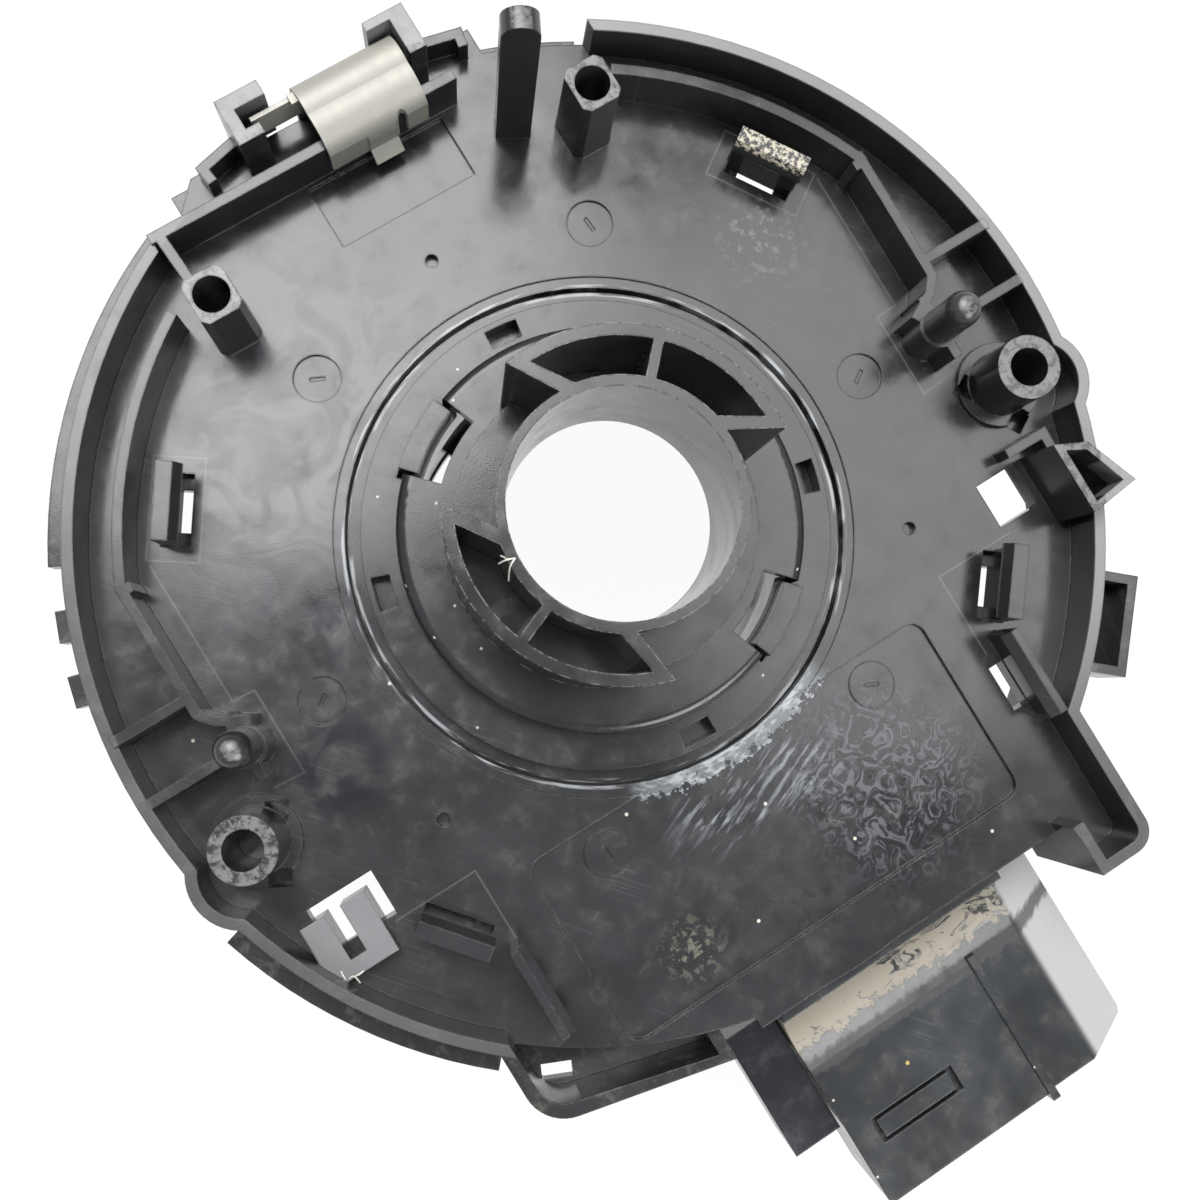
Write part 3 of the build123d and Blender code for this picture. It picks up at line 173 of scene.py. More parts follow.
# Thin parting lines of the mould on the plate: centre, turn in degrees and half sizes.
# They lie the same on both sides of the part, so they are drawn over the absolute X.
PARTING_LINES = (
    ((33.9, 23.1), 34.3, (2.5, 5.1)),
    ((38.8, 12.0), 0.0, (0.0, 7.6)),
    ((37.7, 4.3), 3.0, (1.1, 0.0)),
    ((36.5, -0.4), 0.0, (0.0, 4.6)),
    ((38.0, -4.9), 4.0, (1.6, 0.0)),
    ((32.0, -21.8), 0.0, (4.4, 0.0)),
    ((27.6, -26.4), 0.0, (0.0, 4.6)),
)

# Pale strands the photograph shows, as points in millimetres with heights above the plate:
# torn ends along the broken stub of the case, and lint that hangs in one pocket of the hub
TORN_ENDS = (
    ((-44.2, -23.3, 1.9), (-44.6, -23.6, 1.8), (-44.5, -23.95, 1.6)),
    ((-43.7, -23.8, 1.95), (-43.5, -24.2, 1.8), (-43.2, -24.3, 1.6), (-42.9, -24.1, 1.5)),
    ((-42.6, -23.8, 1.95), (-42.2, -23.7, 2.2), (-42.0, -24.0, 2.1), (-42.0, -24.7, 1.8)),
    ((-42.0, -23.9, 1.95), (-41.6, -24.0, 2.0), (-41.1, -23.9, 1.95)),
    ((-40.4, -23.4, 1.0), (-39.9, -23.5, 1.2), (-39.5, -23.2, 0.6)),
    ((-42.9, -22.8, 1.98), (-42.95, -23.2, 2.1), (-42.95, -23.7, 1.95)),
)
LINT = (
    ((-10.2, 0.75, 21.56), (-10.7, 0.55, 21.75), (-11.1, 0.2, 21.0), (-11.5, -0.45, 19.5)),
    ((-10.2, 0.75, 21.56), (-10.8, 1.0, 21.75), (-11.25, 1.1, 21.0), (-11.5, 1.15, 20.4)),
    ((-10.75, 0.98, 21.6), (-11.03, 1.6, 20.7)),
)


def colour_property(title, text, value):
    """A colour that a user can change, in linear light."""
    return FloatVectorProperty(name=title, description=text, default=value, size=3,
                               subtype="COLOR", min=0.0, max=1.0)


def amount_property(title, text, value):
    """A share from none to full."""
    return FloatProperty(name=title, description=text, default=value, min=0.0, max=1.0, subtype="FACTOR")


def length_property(title, text, value_mm):
    """A length, given here in millimetres."""
    return FloatProperty(name=title, description=text, default=value_mm * MM, min=0.0, unit="LENGTH")


class ClockSpringFinishes(PropertyGroup):
    """Colours and surface values of the pieces."""

    case_color: colour_property("Case colour", "Black moulding of the case", (0.0165, 0.0167, 0.018))
    hub_color: colour_property("Hub colour", "Black moulding of the turning hub", (0.0145, 0.0148, 0.016))
    connector_color: colour_property("Connector colour", "Moulding of the harness hood",
                                     (0.018, 0.0195, 0.021))
    shell_color: colour_property("Side shell colour", "Moulding beside the hood", (0.009, 0.010, 0.013))
    natural_color: colour_property("Natural plastic colour", "Rollers and their carrier",
                                   (0.72, 0.70, 0.62))
    yellow_color: colour_property("Yellow plastic colour", "Socket shell on the wheel side",
                                  (0.70, 0.47, 0.035))
    film_color: colour_property("Film colour", "Slide sheets", (0.74, 0.75, 0.72))
    cable_color: colour_property("Cable colour", "Laminated flat cable", (0.62, 0.36, 0.17))
    steel_color: colour_property("Clip colour", "Satin spring steel", (0.25, 0.243, 0.217))
    pin_color: colour_property("Pin colour", "Tinned terminals", (0.70, 0.67, 0.58))
    dust_color: colour_property("Dust colour", "Tan road dust", (0.31, 0.275, 0.215))
    grease_color: colour_property("Grease colour", "Dried pale grease", (0.33, 0.355, 0.37))
    plastic_roughness: amount_property("Plastic roughness", "Sheen of the mouldings", 0.20)
    gloss: amount_property("Plastic gloss", "Strength of the mouldings' reflections", 0.5)
    dust_amount: amount_property("Dust", "How much dust lies on the mouldings", 0.5)
    scratch_amount: amount_property("Scratches", "How strongly the scratches show", 0.28)
    wear_amount: amount_property("Worn edges", "How pale the rubbed edges are", 0.5)
    edge_radius: length_property("Edge radius", "Soft edges of the mouldings", 0.22)


class ClockSpringStage(PropertyGroup):
    """Camera, floor and light."""

    camera_place: FloatVectorProperty(
        name="Camera place", description="Where the camera stands", size=3, subtype="TRANSLATION",
        unit="LENGTH", default=(-19.05 * MM, -6.3 * MM, 149.87 * MM))
    camera_turn: FloatVectorProperty(
        name="Camera turn", description="How the camera is turned", size=3, subtype="EULER",
        unit="ROTATION", default=(0.06767, -0.10137, -0.55268))
    camera_lens: FloatProperty(
        name="Lens", description="Focal length in millimetres", default=38.99, min=10.0)
    key_power: FloatProperty(
        name="Key light", description="Strength of the lamps over the part", default=1.0, min=0.0)
    sky_level: FloatProperty(
        name="Sky level", description="Brightness of the surroundings", default=0.52, min=0.0)
    floor_color: colour_property("Floor colour", "Pale floor", (0.86, 0.86, 0.86))


class Value:
    """One shader socket. Arithmetic on it adds Math nodes to its recipe."""

    def __init__(self, recipe, socket):
        self.recipe = recipe
        self.socket = socket

    def _math(self, operation, first, second):
        return self.recipe.add("ShaderNodeMath", {"operation": operation}, {0: first, 1: second})

    def __add__(self, other):
        return self._math("ADD", self, other)

    def __radd__(self, other):
        return self._math("ADD", other, self)

    def __sub__(self, other):
        return self._math("SUBTRACT", self, other)

    def __rsub__(self, other):
        return self._math("SUBTRACT", other, self)

    def __mul__(self, other):
        return self._math("MULTIPLY", self, other)

    def __rmul__(self, other):
        return self._math("MULTIPLY", other, self)

    def __abs__(self):
        return self.recipe.add("ShaderNodeMath", {"operation": "ABSOLUTE"}, {0: self})

    def larger(self, other):
        return self._math("MAXIMUM", self, other)


class Recipe:
    """The node tree of one material, with the few mixes that the finishes share."""

    def __init__(self, name):
        self.material = bpy.data.materials.new(name)
        self.material.use_nodes = True
        self.tree = self.material.node_tree
        self.tree.nodes.clear()
        self.place = self.add("ShaderNodeTexCoord", output="Object")
        self.mm = self.add("ShaderNodeVectorMath", {"operation": "SCALE"}, {0: self.place, "Scale": 1 / MM})
        self.x, self.y, self.z = self.split(self.mm)
        # The plan, shifted with height so that noise doesn't smear down the walls
        self.plan = self.join(self.x + self.z * 0.6, self.y + self.z * 0.8, 0.0)

    def add(self, kind, settings=None, inputs=None, output=0):
        """Any node: its settings first, then its inputs. Gives back one of its outputs."""
        node = self.tree.nodes.new(kind)
        for key, value in (settings or {}).items():
            setattr(node, key, value)
        for key, value in (inputs or {}).items():
            socket = node.inputs[key]
            if isinstance(value, Value):
                self.tree.links.new(value.socket, socket)
            else:
                socket.default_value = value
        return Value(self, node.outputs[output])

    def split(self, vector):
        """The three numbers of a vector."""
        first = self.add("ShaderNodeSeparateXYZ", inputs={0: vector})
        return [Value(self, socket) for socket in first.socket.node.outputs]

    def join(self, x, y, z):
        """A vector from three numbers."""
        return self.add("ShaderNodeCombineXYZ", inputs={0: x, 1: y, 2: z})

    def step(self, value, low, high):
        """A smooth rise from 0 to 1 while the value goes from low to high."""
        return self.add("ShaderNodeMapRange", {"interpolation_type": "SMOOTHSTEP"},
                        {"Value": value, "From Min": low, "From Max": high})

    def band(self, value, low, high, soft):
        """1 between low and high, fading over the soft width."""
        return self.step(value, low - soft, low + soft) * (1.0 - self.step(value, high - soft, high + soft))

    def mix(self, share, first, second):
        """A colour between two colours, which the Mix node has as inputs 6 and 7 and output 2."""
        return self.add("ShaderNodeMix", {"data_type": "RGBA"},
                        {0: share, 6: as_rgba(first), 7: as_rgba(second)}, 2)

    def noise(self, scale, detail=3.0, rough=0.55, at=None, warp=0.0):
        """Noise over the plan, or at another place, whose scale is in ripples a millimetre."""
        return self.add("ShaderNodeTexNoise", {"noise_dimensions": "2D"},
                        {"Vector": at or self.plan, "Scale": scale, "Detail": detail,
                         "Roughness": rough, "Distortion": warp})

    def turned(self, angle, stretch, shift=(0.0, 0.0, 0.0), at=None):
        """The place shifted, turned about Z and stretched along the turned X."""
        return self.add("ShaderNodeMapping", {"vector_type": "TEXTURE"},
                        {"Vector": at or self.mm, "Location": shift,
                         "Rotation": (0.0, 0.0, math.radians(angle)), "Scale": stretch})

    def radius(self):
        """Distance from the rotor axis in millimetres."""
        flat = self.join(self.x, self.y, 0.0)
        return self.add("ShaderNodeVectorMath", {"operation": "LENGTH"}, {0: flat}, "Value")

    def spot(self, x, y, size, soft):
        """1 near a point of the plan, fading out at its size."""
        away = self.add("ShaderNodeVectorMath", {"operation": "DISTANCE"},
                        {0: self.join(self.x, self.y, 0.0), 1: (x, y, 0.0)}, "Value")
        return 1.0 - self.step(away, size - soft, size + soft)

    def angle(self):
        """Direction from the rotor axis in degrees, -180 to 180."""
        radians = self.add("ShaderNodeMath", {"operation": "ARCTAN2"}, {0: self.y, 1: self.x})
        return radians * math.degrees(1.0)

    def outline(self, centre, turn, half, width, at=None):
        """1 along the edge of a turned rectangle in the plan, or along a line if one half size is 0."""
        u, v, _ = self.split(self.turned(turn, (1.0, 1.0, 1.0), (*centre, 0.0), at))
        away = (abs(u) - half[0]).larger(abs(v) - half[1])
        return 1.0 - self.step(abs(away), width * 0.4, width)

    def specks(self, scale, size, share):
        """Small round grains: cells a millimetre, size in cells, and the share of cells that has one."""
        cell = self.add("ShaderNodeTexVoronoi", {"voronoi_dimensions": "2D"},
                        {"Vector": self.plan, "Scale": scale})
        pick = Value(self, cell.socket.node.outputs["Color"])
        chosen = 1.0 - self.step(self.split(pick)[0], share, share + 0.01)
        return (1.0 - self.step(cell, size * 0.6, size)) * chosen

    def above(self, height, soft):
        """1 higher than this above the plate, in millimetres."""
        return self.step(self.z, PLATE_TOP + height, PLATE_TOP + height + soft)

    def facing_up(self, low=0.35, high=0.9):
        """1 on faces that look up."""
        normal = self.add("ShaderNodeTexCoord", output="Normal")
        return self.step(self.split(normal)[2], low, high)

    def soft_edge(self, radius):
        """The face's direction, rounded over its edges."""
        return self.add("ShaderNodeBevel", {"samples": 3}, {"Radius": radius})

    def worn_edge(self, soft):
        """1 on edges, from the difference between the rounded and the true face."""
        flat = self.add("ShaderNodeNewGeometry", output="True Normal")
        same = self.add("ShaderNodeVectorMath", {"operation": "DOT_PRODUCT"}, {0: soft, 1: flat}, "Value")
        return 1.0 - self.step(same, 0.78, 0.97)

    def finish(self, colour, roughness, height=None, height_mm=0.02, soft=None, **constants):
        """The surface shader: colour, roughness, bump in millimetres and the rounded edges' direction."""
        inputs = {"Base Color": as_rgba(colour), "Roughness": roughness}
        if height is not None:
            bump = {"Height": height, "Distance": height_mm * MM, "Strength": 1.0}
            if soft:
                bump["Normal"] = soft
            inputs["Normal"] = self.add("ShaderNodeBump", inputs=bump)
        elif soft:
            inputs["Normal"] = soft
        inputs.update({key.replace("_", " "): value for key, value in constants.items()})
        shader = self.add("ShaderNodeBsdfPrincipled", inputs=inputs)
        self.add_output(shader)
        return self.material

    def add_output(self, shader):
        """Ends the tree in a shader."""
        node = self.tree.nodes.new("ShaderNodeOutputMaterial")
        self.tree.links.new(shader.socket, node.inputs["Surface"])


def as_rgba(colour):
    """A colour value for a shader socket."""
    return colour if isinstance(colour, Value) else (*colour, 1.0)


def scaled(colour, factor):
    """A lighter or darker version of a colour."""
    return tuple(min(1.0, part * factor) for part in colour)


def dress(material, *nodes):
    """Gives a material to CAD nodes."""
    for name in nodes:
        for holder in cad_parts[name].material_slots:
            holder.material = material


class Surface:
    """Colour, roughness and height of a moulding, built up layer by layer."""

    def __init__(self, recipe, colour, values):
        self.recipe = recipe
        self.values = values
        self.soft = recipe.soft_edge(values.edge_radius)
        self.edge = recipe.worn_edge(self.soft)
        self.cloud = recipe.noise(0.055, 3.0, 0.6)
        self.smudge = recipe.noise(0.33, 3.0, 0.62)
        self.ragged = recipe.noise(0.9, 3.0, 0.75)
        self.tone = recipe.mix(recipe.step(self.cloud, 0.35, 0.68),
                               scaled(colour, 0.78), scaled(colour, 1.25))
        self.rough = values.plastic_roughness + (self.smudge - 0.5) * 0.22 + (self.cloud - 0.5) * 0.18
        self.height = recipe.noise(5.5, 0.0) * 0.07
        lines = scratches(recipe, recipe.step(self.smudge, 0.55, 0.75), recipe.step(self.cloud, 0.5, 0.62))
        self.paint(lines * values.scratch_amount, SCRATCH_GREY, 0.4, 0.12)
        rubbed = self.edge * recipe.step(self.ragged, 0.42, 0.60)
        self.paint(rubbed * values.wear_amount, WORN_GREY, 0.55, 0.05)
        film = recipe.step(self.smudge, 0.5, 0.78) * recipe.facing_up()
        self.paint(film * values.dust_amount, values.dust_color, 0.03, 0.10)

    def paint(self, mask, colour, share, roughness=0.0, height=0.0):
        """One painted layer, of dirt, wear or painted light, where the mask is 1."""
        self.tone = self.recipe.mix(mask * share, self.tone, colour)
        if roughness:
            self.rough = self.rough + mask * roughness
        if height:
            self.height = self.height + mask * height

    def finish(self, *nodes):
        """Ends the material and gives it to the nodes."""
        dress(self.recipe.finish(self.tone, self.rough, self.height, 0.03, self.soft,
                                 Specular_IOR_Level=self.values.gloss), *nodes)


def scratches(recipe, *masks):
    """Fine short lines, in another direction under each mask."""
    total = None
    for mask, turn, shift in zip(masks, SCRATCH_TURNS, SCRATCH_SHIFTS):
        place = recipe.turned(turn, (9.0, 0.22, 1.0), (shift, shift, 0.0))
        line = recipe.step(recipe.noise(1.0, 1.0, 0.5, at=place), 0.66, 0.74) * mask
        total = line if total is None else total.larger(line)
    return total


def ring_highlights(recipe):
    """Long uneven painted highlights that follow the turning hub's edge."""
    around = recipe.join(recipe.angle() * 0.06, recipe.radius() * 1.5, 0.0)
    return recipe.step(recipe.noise(1.0, 2.0, 0.7, at=around), 0.44, 0.62)


def parting_lines(recipe):
    """Thin lines where the mould's slides met, the same on both sides of the part."""
    mirrored = recipe.join(abs(recipe.x), recipe.y, recipe.z)
    lines = None
    for centre, turn, half in PARTING_LINES:
        line = recipe.outline(centre, turn, half, 0.13, mirrored)
        lines = line if lines is None else lines.larger(line)
    return lines


def recess_smears(recipe, surface, on_plate, streaks):
    """Strokes, swirls, a polished patch and a tan stain over the shallow recess."""
    stroke = recipe.noise(1.0, 3.0, 0.62, at=recipe.turned(22.0, (5.5, 0.7, 1.0)))
    beside_hub = recipe.spot(*STROKE_PATCH) * recipe.band(recipe.y, *STROKE_Y, 1.4)
    surface.paint(recipe.step(stroke, 0.5, 0.66) * beside_hub * on_plate, STROKE_GREY, 0.6, 0.06)
    swirl = recipe.noise(0.5, 2.0, 0.66, warp=2.4)
    swirled = recipe.spot(*SWIRL_PATCH) * on_plate
    surface.paint(swirled * recipe.step(swirl, 0.50, 0.62), SWIRL_GREY, 0.32, 0.05)
    surface.paint(swirled * (1.0 - recipe.step(swirl, 0.38, 0.46)), SWIRL_BLACK, 0.45, -0.06)
    polished = recipe.spot(*POLISHED_PATCH) * recipe.step(streaks, 0.38, 0.50)
    surface.paint(polished * on_plate, POLISHED_BLACK, 0.7, 0.12)
    stain = recipe.spot(*STAIN_PATCH) * recipe.step(surface.ragged, 0.5, 0.62)
    surface.paint(stain * on_plate, STAIN_TAN, 0.6, 0.1)


def dried_grease(recipe, surface, values):
    """A ragged pale smear along the hub hole, and painted highlights along the hole's edge."""
    around = recipe.band(recipe.angle(), *GREASE_ANGLES, 3.0)
    reach = 1.0 - recipe.step(recipe.radius() + (surface.ragged - 0.5) * 4.0, *GREASE_END)
    outside = recipe.step(recipe.radius(), HUB_HOLE_RADIUS, HUB_HOLE_RADIUS + 0.2)
    along = recipe.join(recipe.angle() * 0.16, recipe.radius() * 0.9, 0.0)
    clots = recipe.step(recipe.noise(1.0, 3.0, 0.7, at=along), 0.42, 0.64)
    grease = around * reach * outside * (0.35 + clots * 0.65)
    surface.paint(grease, values.grease_color, 0.75, 0.1, 0.35)
    # Painted highlight along the plate's side of the hole's edge
    hole_edge_highlight = recipe.band(recipe.radius(), HUB_HOLE_RADIUS, HUB_HOLE_RADIUS + 0.4, 0.12)
    surface.paint(hole_edge_highlight * ring_highlights(recipe), EDGE_HIGHLIGHT_GREY, 0.6)


def hook_crumbs(recipe, surface, on_plate):
    """Pale crumbs on one hook and a tan dusting in front of it."""
    inside_rib = 1.0 - recipe.step(recipe.radius(), RIB_RADIUS, RIB_RADIUS + 0.4)
    hook_top = recipe.spot(*CRUMB_PATCH) * inside_rib * recipe.above(HOOK_HEIGHT, 0.3)
    crumbs = recipe.step(recipe.noise(1.9, 2.0, 0.7), 0.40, 0.62)
    surface.paint(hook_top * crumbs, CRUMB_TAN, 0.75, 0.25, 0.8)
    dusting = recipe.spot(*DUSTING_PATCH) * recipe.step(surface.ragged, 0.52, 0.66)
    surface.paint(dusting * on_plate, DUSTING_TAN, 0.16, 0.1)


def lightened_tops(recipe, surface):
    """Lighter tops of the rim and the bosses, with a painted highlight on the rim's right side, and a
    painted highlight on the broken stub's top face.
    """
    rim_top = recipe.above(RIM_HEIGHT, 0.2) * recipe.step(recipe.radius(), RIM_RADIUS, RIM_RADIUS + 0.3)
    # Rim top painted lighter all round, and most on its right side as a painted highlight
    highlight_side = recipe.band(recipe.angle(), *RIM_HIGHLIGHT_ANGLES, 12.0)
    surface.paint(rim_top * (highlight_side * 0.7 + 0.3), RIM_GREY, 0.6, 0.15)
    # Boss tops painted lighter in ragged patches
    boss_top = recipe.above(BOSS_HEIGHT, 0.2) * recipe.facing_up(0.8, 0.9)
    surface.paint(boss_top * recipe.step(surface.ragged, 0.34, 0.6), BOSS_GREY, 0.45, 0.15)
    # Painted highlight on the broken stub's top face
    stub = recipe.band(recipe.x, *STUB_X, 0.15) * recipe.band(recipe.y, *STUB_Y, 0.15)
    low, high = (PLATE_TOP + height for height in STUB_HEIGHTS)
    stub_highlight = stub * recipe.band(recipe.z, low, high, 0.1) * recipe.facing_up()
    surface.paint(stub_highlight, STUB_HIGHLIGHT_GREY, 0.85, 0.15)


def plate_marks(recipe, surface, values):
    """What only the rear plate shows, from the mould's lines to the dirt on top, with a painted sheen and
    painted highlights.
    """
    on_plate = recipe.band(recipe.z, PLATE_TOP - 0.6, PLATE_TOP + 0.3, 0.1) * recipe.facing_up()
    streaks = recipe.noise(0.16, 2.0, 0.65, warp=0.9)
    surface.paint(parting_lines(recipe) * on_plate, PARTING_GREY, 0.3)
    # Painted sheen: paler streaks over the upper left of the plate stand in for the reflection of the light
    # there
    sheen = recipe.spot(*PAINTED_SHEEN_PATCH) * recipe.step(streaks, 0.42, 0.62)
    surface.paint(sheen * on_plate, PAINTED_SHEEN_GREY, 0.3, -0.05)
    blotch = recipe.spot(*BLOTCH_PATCH) * recipe.step(streaks, 0.4, 0.56)
    surface.paint(blotch * on_plate, BLOTCH_BLACK, 0.6, -0.05)
    recess_smears(recipe, surface, on_plate, streaks)
    dried_grease(recipe, surface, values)
    hook_crumbs(recipe, surface, on_plate)
    lightened_tops(recipe, surface)
    lower_left = recipe.step(recipe.x * -1.0 - recipe.y, -5.0, 40.0)
    surface.paint(recipe.specks(0.16, 0.035, 0.12) * lower_left, PLATE_SPECK, 0.7)


class CLOCK_OT_case(Operator):
    """Finish of the rear and front case mouldings"""

    bl_idname = "clock_spring.case"
    bl_label = "Dress case"

    def execute(self, context):
        values = context.scene.clock_finishes
        recipe = Recipe("case_plate")
        surface = Surface(recipe, values.case_color, values)
        plate_marks(recipe, surface, values)
        surface.finish("rear_case")
        recipe = Recipe("case_skirt")
        surface = Surface(recipe, values.case_color, values)
        dirt = recipe.step(recipe.noise(0.4, 4.0, 0.7), 0.5, 0.75)
        surface.paint(dirt * values.dust_amount, values.dust_color, 0.3, 0.15)
        surface.finish("front_case")
        return {"FINISHED"}


class CLOCK_OT_hub(Operator):
    """Finish of the turning hub and the rotor below it"""

    bl_idname = "clock_spring.hub"
    bl_label = "Dress hub"

    def execute(self, context):
        values = context.scene.clock_finishes
        recipe = Recipe("hub_sleeve")
        surface = Surface(recipe, values.hub_color, values)
        ragged = recipe.step(surface.ragged, 0.44, 0.6)
        # Painted highlight: pale uneven lines along the hub's collar at the hole's edge
        collar = recipe.band(recipe.radius(), *COLLAR_RADII, 0.1)
        surface.paint(collar * ring_highlights(recipe), EDGE_HIGHLIGHT_GREY, 0.6)
        lip = recipe.above(TUBE_HEIGHT, 0.3) * surface.edge
        surface.paint(lip * ragged, TUBE_LIP_TAN, 0.6, 0.1)
        cam_rim = recipe.band(recipe.radius(), *CAM_RIM_RADII, 0.3) * surface.edge
        surface.paint(cam_rim * ragged, CAM_RIM_TAN, 0.5, 0.1)
        surface.paint(recipe.specks(0.30, 0.05, 0.08), HUB_SPECK, 0.6)
        surface.finish("rear_sleeve")
        recipe = Recipe("rotor_moulding")
        Surface(recipe, values.hub_color, values).finish("front_rotor")
        return {"FINISHED"}


def hood_marks(recipe, surface, values):
    """Dust on the hood's hollow slope, a painted highlight on its pale bevel, its dark ridge, and a few
    specks.
    """
    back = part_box("connector_housing")[1].y / MM
    ragged = surface.ragged
    depth = back - recipe.y + (0.5 - ragged) * 1.2
    foot = 1.0 - recipe.step(depth + (ragged - 0.5) * 5.0, *DUST_FOOT_DEPTH)
    ledge = recipe.step(depth, *DUST_TOP_DEPTH) * foot
    patches = recipe.step(recipe.noise(0.24, 4.0, 0.75, warp=0.6) + recipe.x * 0.006, 0.56, 0.64)
    beside_bevel = 1.0 - recipe.step(recipe.x + (ragged - 0.5) * 2.0, *DUST_SIDE_X)
    slope = ledge * beside_bevel * (1.0 - recipe.step(PLATE_TOP - recipe.z, *DUST_BELOW_PLATE))
    surface.paint(slope * (1.0 - patches), values.dust_color, 0.60, 0.35, 0.6)
    surface.paint(slope * patches * recipe.step(ragged, 0.54, 0.62), values.dust_color, 0.5, 0.2)
    # The sloped bevel right of the hood is painted pale as a painted highlight, made rougher like a dusty
    # film
    tilted = recipe.facing_up(0.15, 0.3) * (1.0 - recipe.facing_up(0.93, 0.97))
    surface.paint(tilted * recipe.step(recipe.x, *BEVEL_X), BEVEL_HIGHLIGHT_GREY, 0.85, 0.18)
    ridge = recipe.band(depth, *RIDGE_DEPTHS, 0.35) * recipe.facing_up(0.5, 0.8)
    surface.paint(ridge, RIDGE_BLACK, 0.8, 0.3)
    surface.paint(recipe.spot(*YELLOW_PATCH) * recipe.facing_up(), SPECK_YELLOW, 0.8)
    surface.paint(recipe.specks(0.20, 0.035, 0.12) * recipe.facing_up(), HOOD_SPECK, 0.6)


class CLOCK_OT_connectors(Operator):
    """Finishes of the hood, the side shell and the wheel side sockets"""

    bl_idname = "clock_spring.connectors"
    bl_label = "Dress connectors"

    def execute(self, context):
        values = context.scene.clock_finishes
        recipe = Recipe("hood_moulding")
        surface = Surface(recipe, values.connector_color, values)
        hood_marks(recipe, surface, values)
        surface.finish("connector_housing")
        for name, colour, nodes in (
            ("side_shell_moulding", values.shell_color, ["side_connector", "wheel_connector"]),
            ("yellow_moulding", values.yellow_color, ["airbag_connector"]),
        ):
            Surface(Recipe(name), colour, values).finish(*nodes)
        return {"FINISHED"}


class CLOCK_OT_inner_pieces(Operator):
    """Finishes of the rollers, their carrier, the lead blocks, the slide sheets and the flat cable"""

    bl_idname = "clock_spring.inner_pieces"
    bl_label = "Dress inner pieces"

    def execute(self, context):
        values = context.scene.clock_finishes
        natural = Recipe("natural_moulding")
        cloud = natural.noise(0.3, 4.0, 0.6)
        tone = natural.mix(cloud, scaled(values.natural_color, 0.9), values.natural_color)
        rollers = [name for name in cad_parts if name.startswith("roller")]
        dress(natural.finish(tone, 0.42 + cloud * 0.15, natural.noise(4.0), 0.02,
                             natural.soft_edge(values.edge_radius), Subsurface_Weight=0.05),
              *rollers, "rotor_lead_block", "stator_lead_block")
        film = Recipe("slide_film")
        haze = film.noise(0.2, 4.0, 0.6)
        tone = film.mix(haze, values.film_color, scaled(values.film_color, 0.93))
        dress(film.finish(tone, 0.2 + haze * 0.2), "rear_slide_sheet", "front_slide_sheet")
        cable = Recipe("flat_cable_film")
        lanes = cable.add("ShaderNodeMath", {"operation": "FRACT"}, {0: cable.z * 0.42})
        track = cable.step(abs(lanes - 0.5), 0.2, 0.24)
        tone = cable.mix(track, values.cable_color, CABLE_TRACK)
        dress(cable.finish(tone, 0.28 + cable.noise(0.5) * 0.15),
              "flat_cable_outer", "flat_cable_inner", "flat_cable_loop")
        return {"FINISHED"}


class CLOCK_OT_metal(Operator):
    """Finishes of the spring clip and the terminals"""

    bl_idname = "clock_spring.metal"
    bl_label = "Dress metal"

    def execute(self, context):
        values = context.scene.clock_finishes
        steel = Recipe("satin_spring_steel")
        brushed = steel.noise(1.0, 4.0, 0.6, at=steel.turned(90.0, (14.0, 0.4, 0.4)))
        stain = steel.noise(0.28, 5.0, 0.6, warp=1.2)
        tone = steel.mix(steel.step(stain, 0.5, 0.75) * 0.35, values.steel_color, STEEL_STAIN)
        dress(steel.finish(tone, 0.40 + brushed * 0.16 + stain * 0.08, brushed, 0.006,
                           steel.soft_edge(0.1 * MM), Metallic=0.3),
              "spring_clip")
        tin = Recipe("tinned_terminals")
        wear = tin.noise(1.2, 4.0, 0.6)
        tone = tin.mix(wear, values.pin_color, scaled(values.pin_color, 0.75))
        dress(tin.finish(tone, 0.26 + wear * 0.2, wear, 0.01, Metallic=1.0),
              "main_terminals", "small_terminals", "wheel_terminals", "airbag_terminals")
        return {"FINISHED"}


def strands(name, paths, radius, material, body):
    """Thin bent strands as one piece that rides on a body."""
    curve = bpy.data.curves.new(name, "CURVE")
    curve.dimensions = "3D"
    curve.bevel_depth = radius * MM
    curve.bevel_resolution = 1
    curve.use_fill_caps = True
    for path in paths:
        spline = curve.splines.new("NURBS")
        spline.points.add(len(path) - 1)
        spline.order_u = min(3, len(path))
        spline.use_endpoint_u = True
        for point, (x, y, z) in zip(spline.points, path):
            point.co = (x * MM, y * MM, (PLATE_TOP + z) * MM, 1.0)
    curve.materials.append(material)
    piece = bpy.data.objects.new(name, curve)
    bpy.context.scene.collection.objects.link(piece)
    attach(piece, body)


class CLOCK_OT_strands(Operator):
    """Torn ends on the broken stub and lint on the hub"""

    bl_idname = "clock_spring.strands"
    bl_label = "Add torn ends and lint"

    def execute(self, context):
        values = context.scene.clock_finishes
        recipe = Recipe("pale_strand")
        tone = recipe.mix(recipe.noise(1.5), scaled(values.natural_color, 0.5),
                          scaled(values.natural_color, 0.85))
        material = recipe.finish(tone, 0.6)
        strands("torn_ends", TORN_ENDS, 0.09, material, "case")
        strands("pocket_lint", LINT, 0.08, material, "rotor")
        return {"FINISHED"}


def aim(thing, target):
    """Turns a lamp or camera towards a point."""
    thing.rotation_euler = (Vector(target) - thing.location).to_track_quat("-Z", "Y").to_euler()


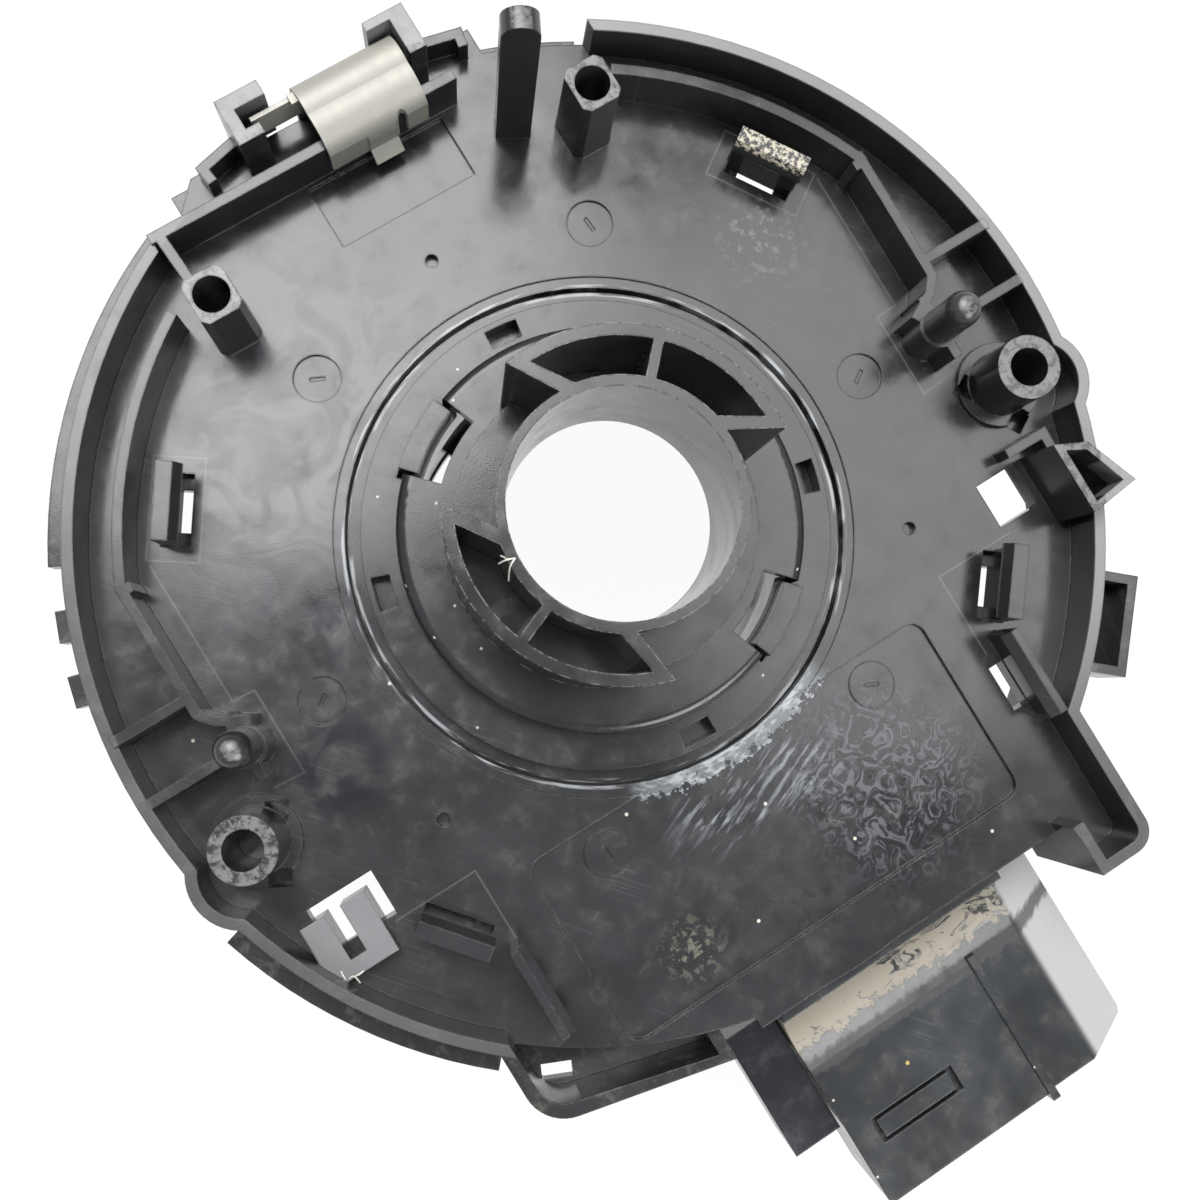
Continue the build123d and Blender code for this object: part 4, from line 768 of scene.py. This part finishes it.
def soft_glow(name, place, diameters, radiance):
    """Round lamps on one centre, in metres: brightest in the middle and fading outwards."""
    for number, diameter in enumerate(diameters, 1):
        lamp = bpy.data.lights.new(f"{name}_{number}", "AREA")
        lamp.shape = "DISK"
        lamp.size = diameter
        lamp.energy = radiance / len(diameters) * LAMP_WATTS * diameter ** 2
        holder = bpy.data.objects.new(lamp.name, lamp)
        bpy.context.scene.collection.objects.link(holder)
        holder.location = place
        aim(holder, (0.0, 0.0, PLATE_TOP * MM))


class CLOCK_OT_stage(Operator):
    """Floor, soft light and the camera"""

    bl_idname = "clock_spring.stage"
    bl_label = "Set the stage"

    def execute(self, context):
        values = context.scene.clock_stage
        self.floor(context, values)
        self.world(context, values)
        for name, place, diameters, radiance in LAMPS:
            soft_glow(name, place, diameters, radiance * values.key_power)
        self.camera(context, values)
        return {"FINISHED"}

    def floor(self, context, values):
        """A wide pale floor, white to the camera with the part's shadow on it, and open from below."""
        mesh = bpy.data.meshes.new("floor")
        reach, height = FLOOR_REACH * MM, (FLOOR_Z - FLOOR_GAP) * MM
        corners = [(side_x * reach, side_y * reach, height)
                   for side_x, side_y in ((-1, -1), (1, -1), (1, 1), (-1, 1))]
        mesh.from_pydata(corners, [], [(0, 1, 2, 3)])
        floor = bpy.data.objects.new("floor", mesh)
        context.scene.collection.objects.link(floor)
        recipe = Recipe("pale_floor")
        matt = recipe.add("ShaderNodeBsdfDiffuse", inputs={"Color": (*values.floor_color, 1.0)})
        glow = recipe.add("ShaderNodeEmission", inputs={"Color": WHITE, "Strength": 1.0})
        both = recipe.add("ShaderNodeMixShader", inputs={0: self.seen(recipe) * 0.95, 1: matt, 2: glow})
        clear = recipe.add("ShaderNodeBsdfTransparent")
        below = recipe.add("ShaderNodeNewGeometry", output="Backfacing")
        recipe.add_output(recipe.add("ShaderNodeMixShader", inputs={0: below, 1: both, 2: clear}))
        mesh.materials.append(recipe.material)

    def seen(self, recipe):
        """1 for rays that come straight from the camera, a mirror or glass."""
        outputs = recipe.add("ShaderNodeLightPath").socket.node.outputs
        rays = [Value(recipe, outputs[f"Is {kind} Ray"]) for kind in ("Camera", "Glossy", "Transmission")]
        return recipe.add("ShaderNodeClamp", inputs={"Value": rays[0] + rays[1] + rays[2]})

    def world(self, context, values):
        """Even surroundings, a little cooler than the lamps."""
        world = bpy.data.worlds.new("studio")
        world.use_nodes = True
        sky = world.node_tree.nodes["Background"]
        sky.inputs["Color"].default_value = SKY_COLOR
        sky.inputs["Strength"].default_value = values.sky_level
        context.scene.world = world

    def camera(self, context, values):
        """The photograph's viewpoint."""
        lens = bpy.data.cameras.new("photo_camera")
        lens.sensor_width = 36.0
        lens.lens = values.camera_lens
        lens.clip_start = 0.005
        camera = bpy.data.objects.new("photo_camera", lens)
        camera.location = values.camera_place
        camera.rotation_euler = values.camera_turn
        context.scene.collection.objects.link(camera)
        context.scene.camera = camera
        context.scene.view_settings.view_transform = "Standard"


OPERATORS = (CLOCK_OT_case, CLOCK_OT_hub, CLOCK_OT_connectors, CLOCK_OT_inner_pieces, CLOCK_OT_metal,
             CLOCK_OT_strands, CLOCK_OT_stage)


class CLOCK_PT_panel(Panel):
    """Lists the operators in the sidebar"""

    bl_label = "Clock Spring"
    bl_idname = "CLOCK_PT_panel"
    bl_space_type = "VIEW_3D"
    bl_region_type = "UI"
    bl_category = "Clock Spring"

    def draw(self, context):
        for operator in OPERATORS:
            self.layout.operator(operator.bl_idname)
        for group in (context.scene.clock_finishes, context.scene.clock_stage):
            for name in group.__annotations__:
                self.layout.prop(group, name)


CLASSES = (ClockSpringFinishes, ClockSpringStage, *OPERATORS, CLOCK_PT_panel)


def register():
    """Adds the settings, operators and panel."""
    for item in CLASSES:
        bpy.utils.register_class(item)
    bpy.types.Scene.clock_finishes = PointerProperty(type=ClockSpringFinishes)
    bpy.types.Scene.clock_stage = PointerProperty(type=ClockSpringStage)


def unregister():
    """Takes them away again."""
    del bpy.types.Scene.clock_stage
    del bpy.types.Scene.clock_finishes
    for item in reversed(CLASSES):
        bpy.utils.unregister_class(item)


def main():
    """Runs every operator in order."""
    register()
    for operator in OPERATORS:
        group, name = operator.bl_idname.split(".")
        getattr(getattr(bpy.ops, group), name)()


if __name__ == "__main__":
    main()
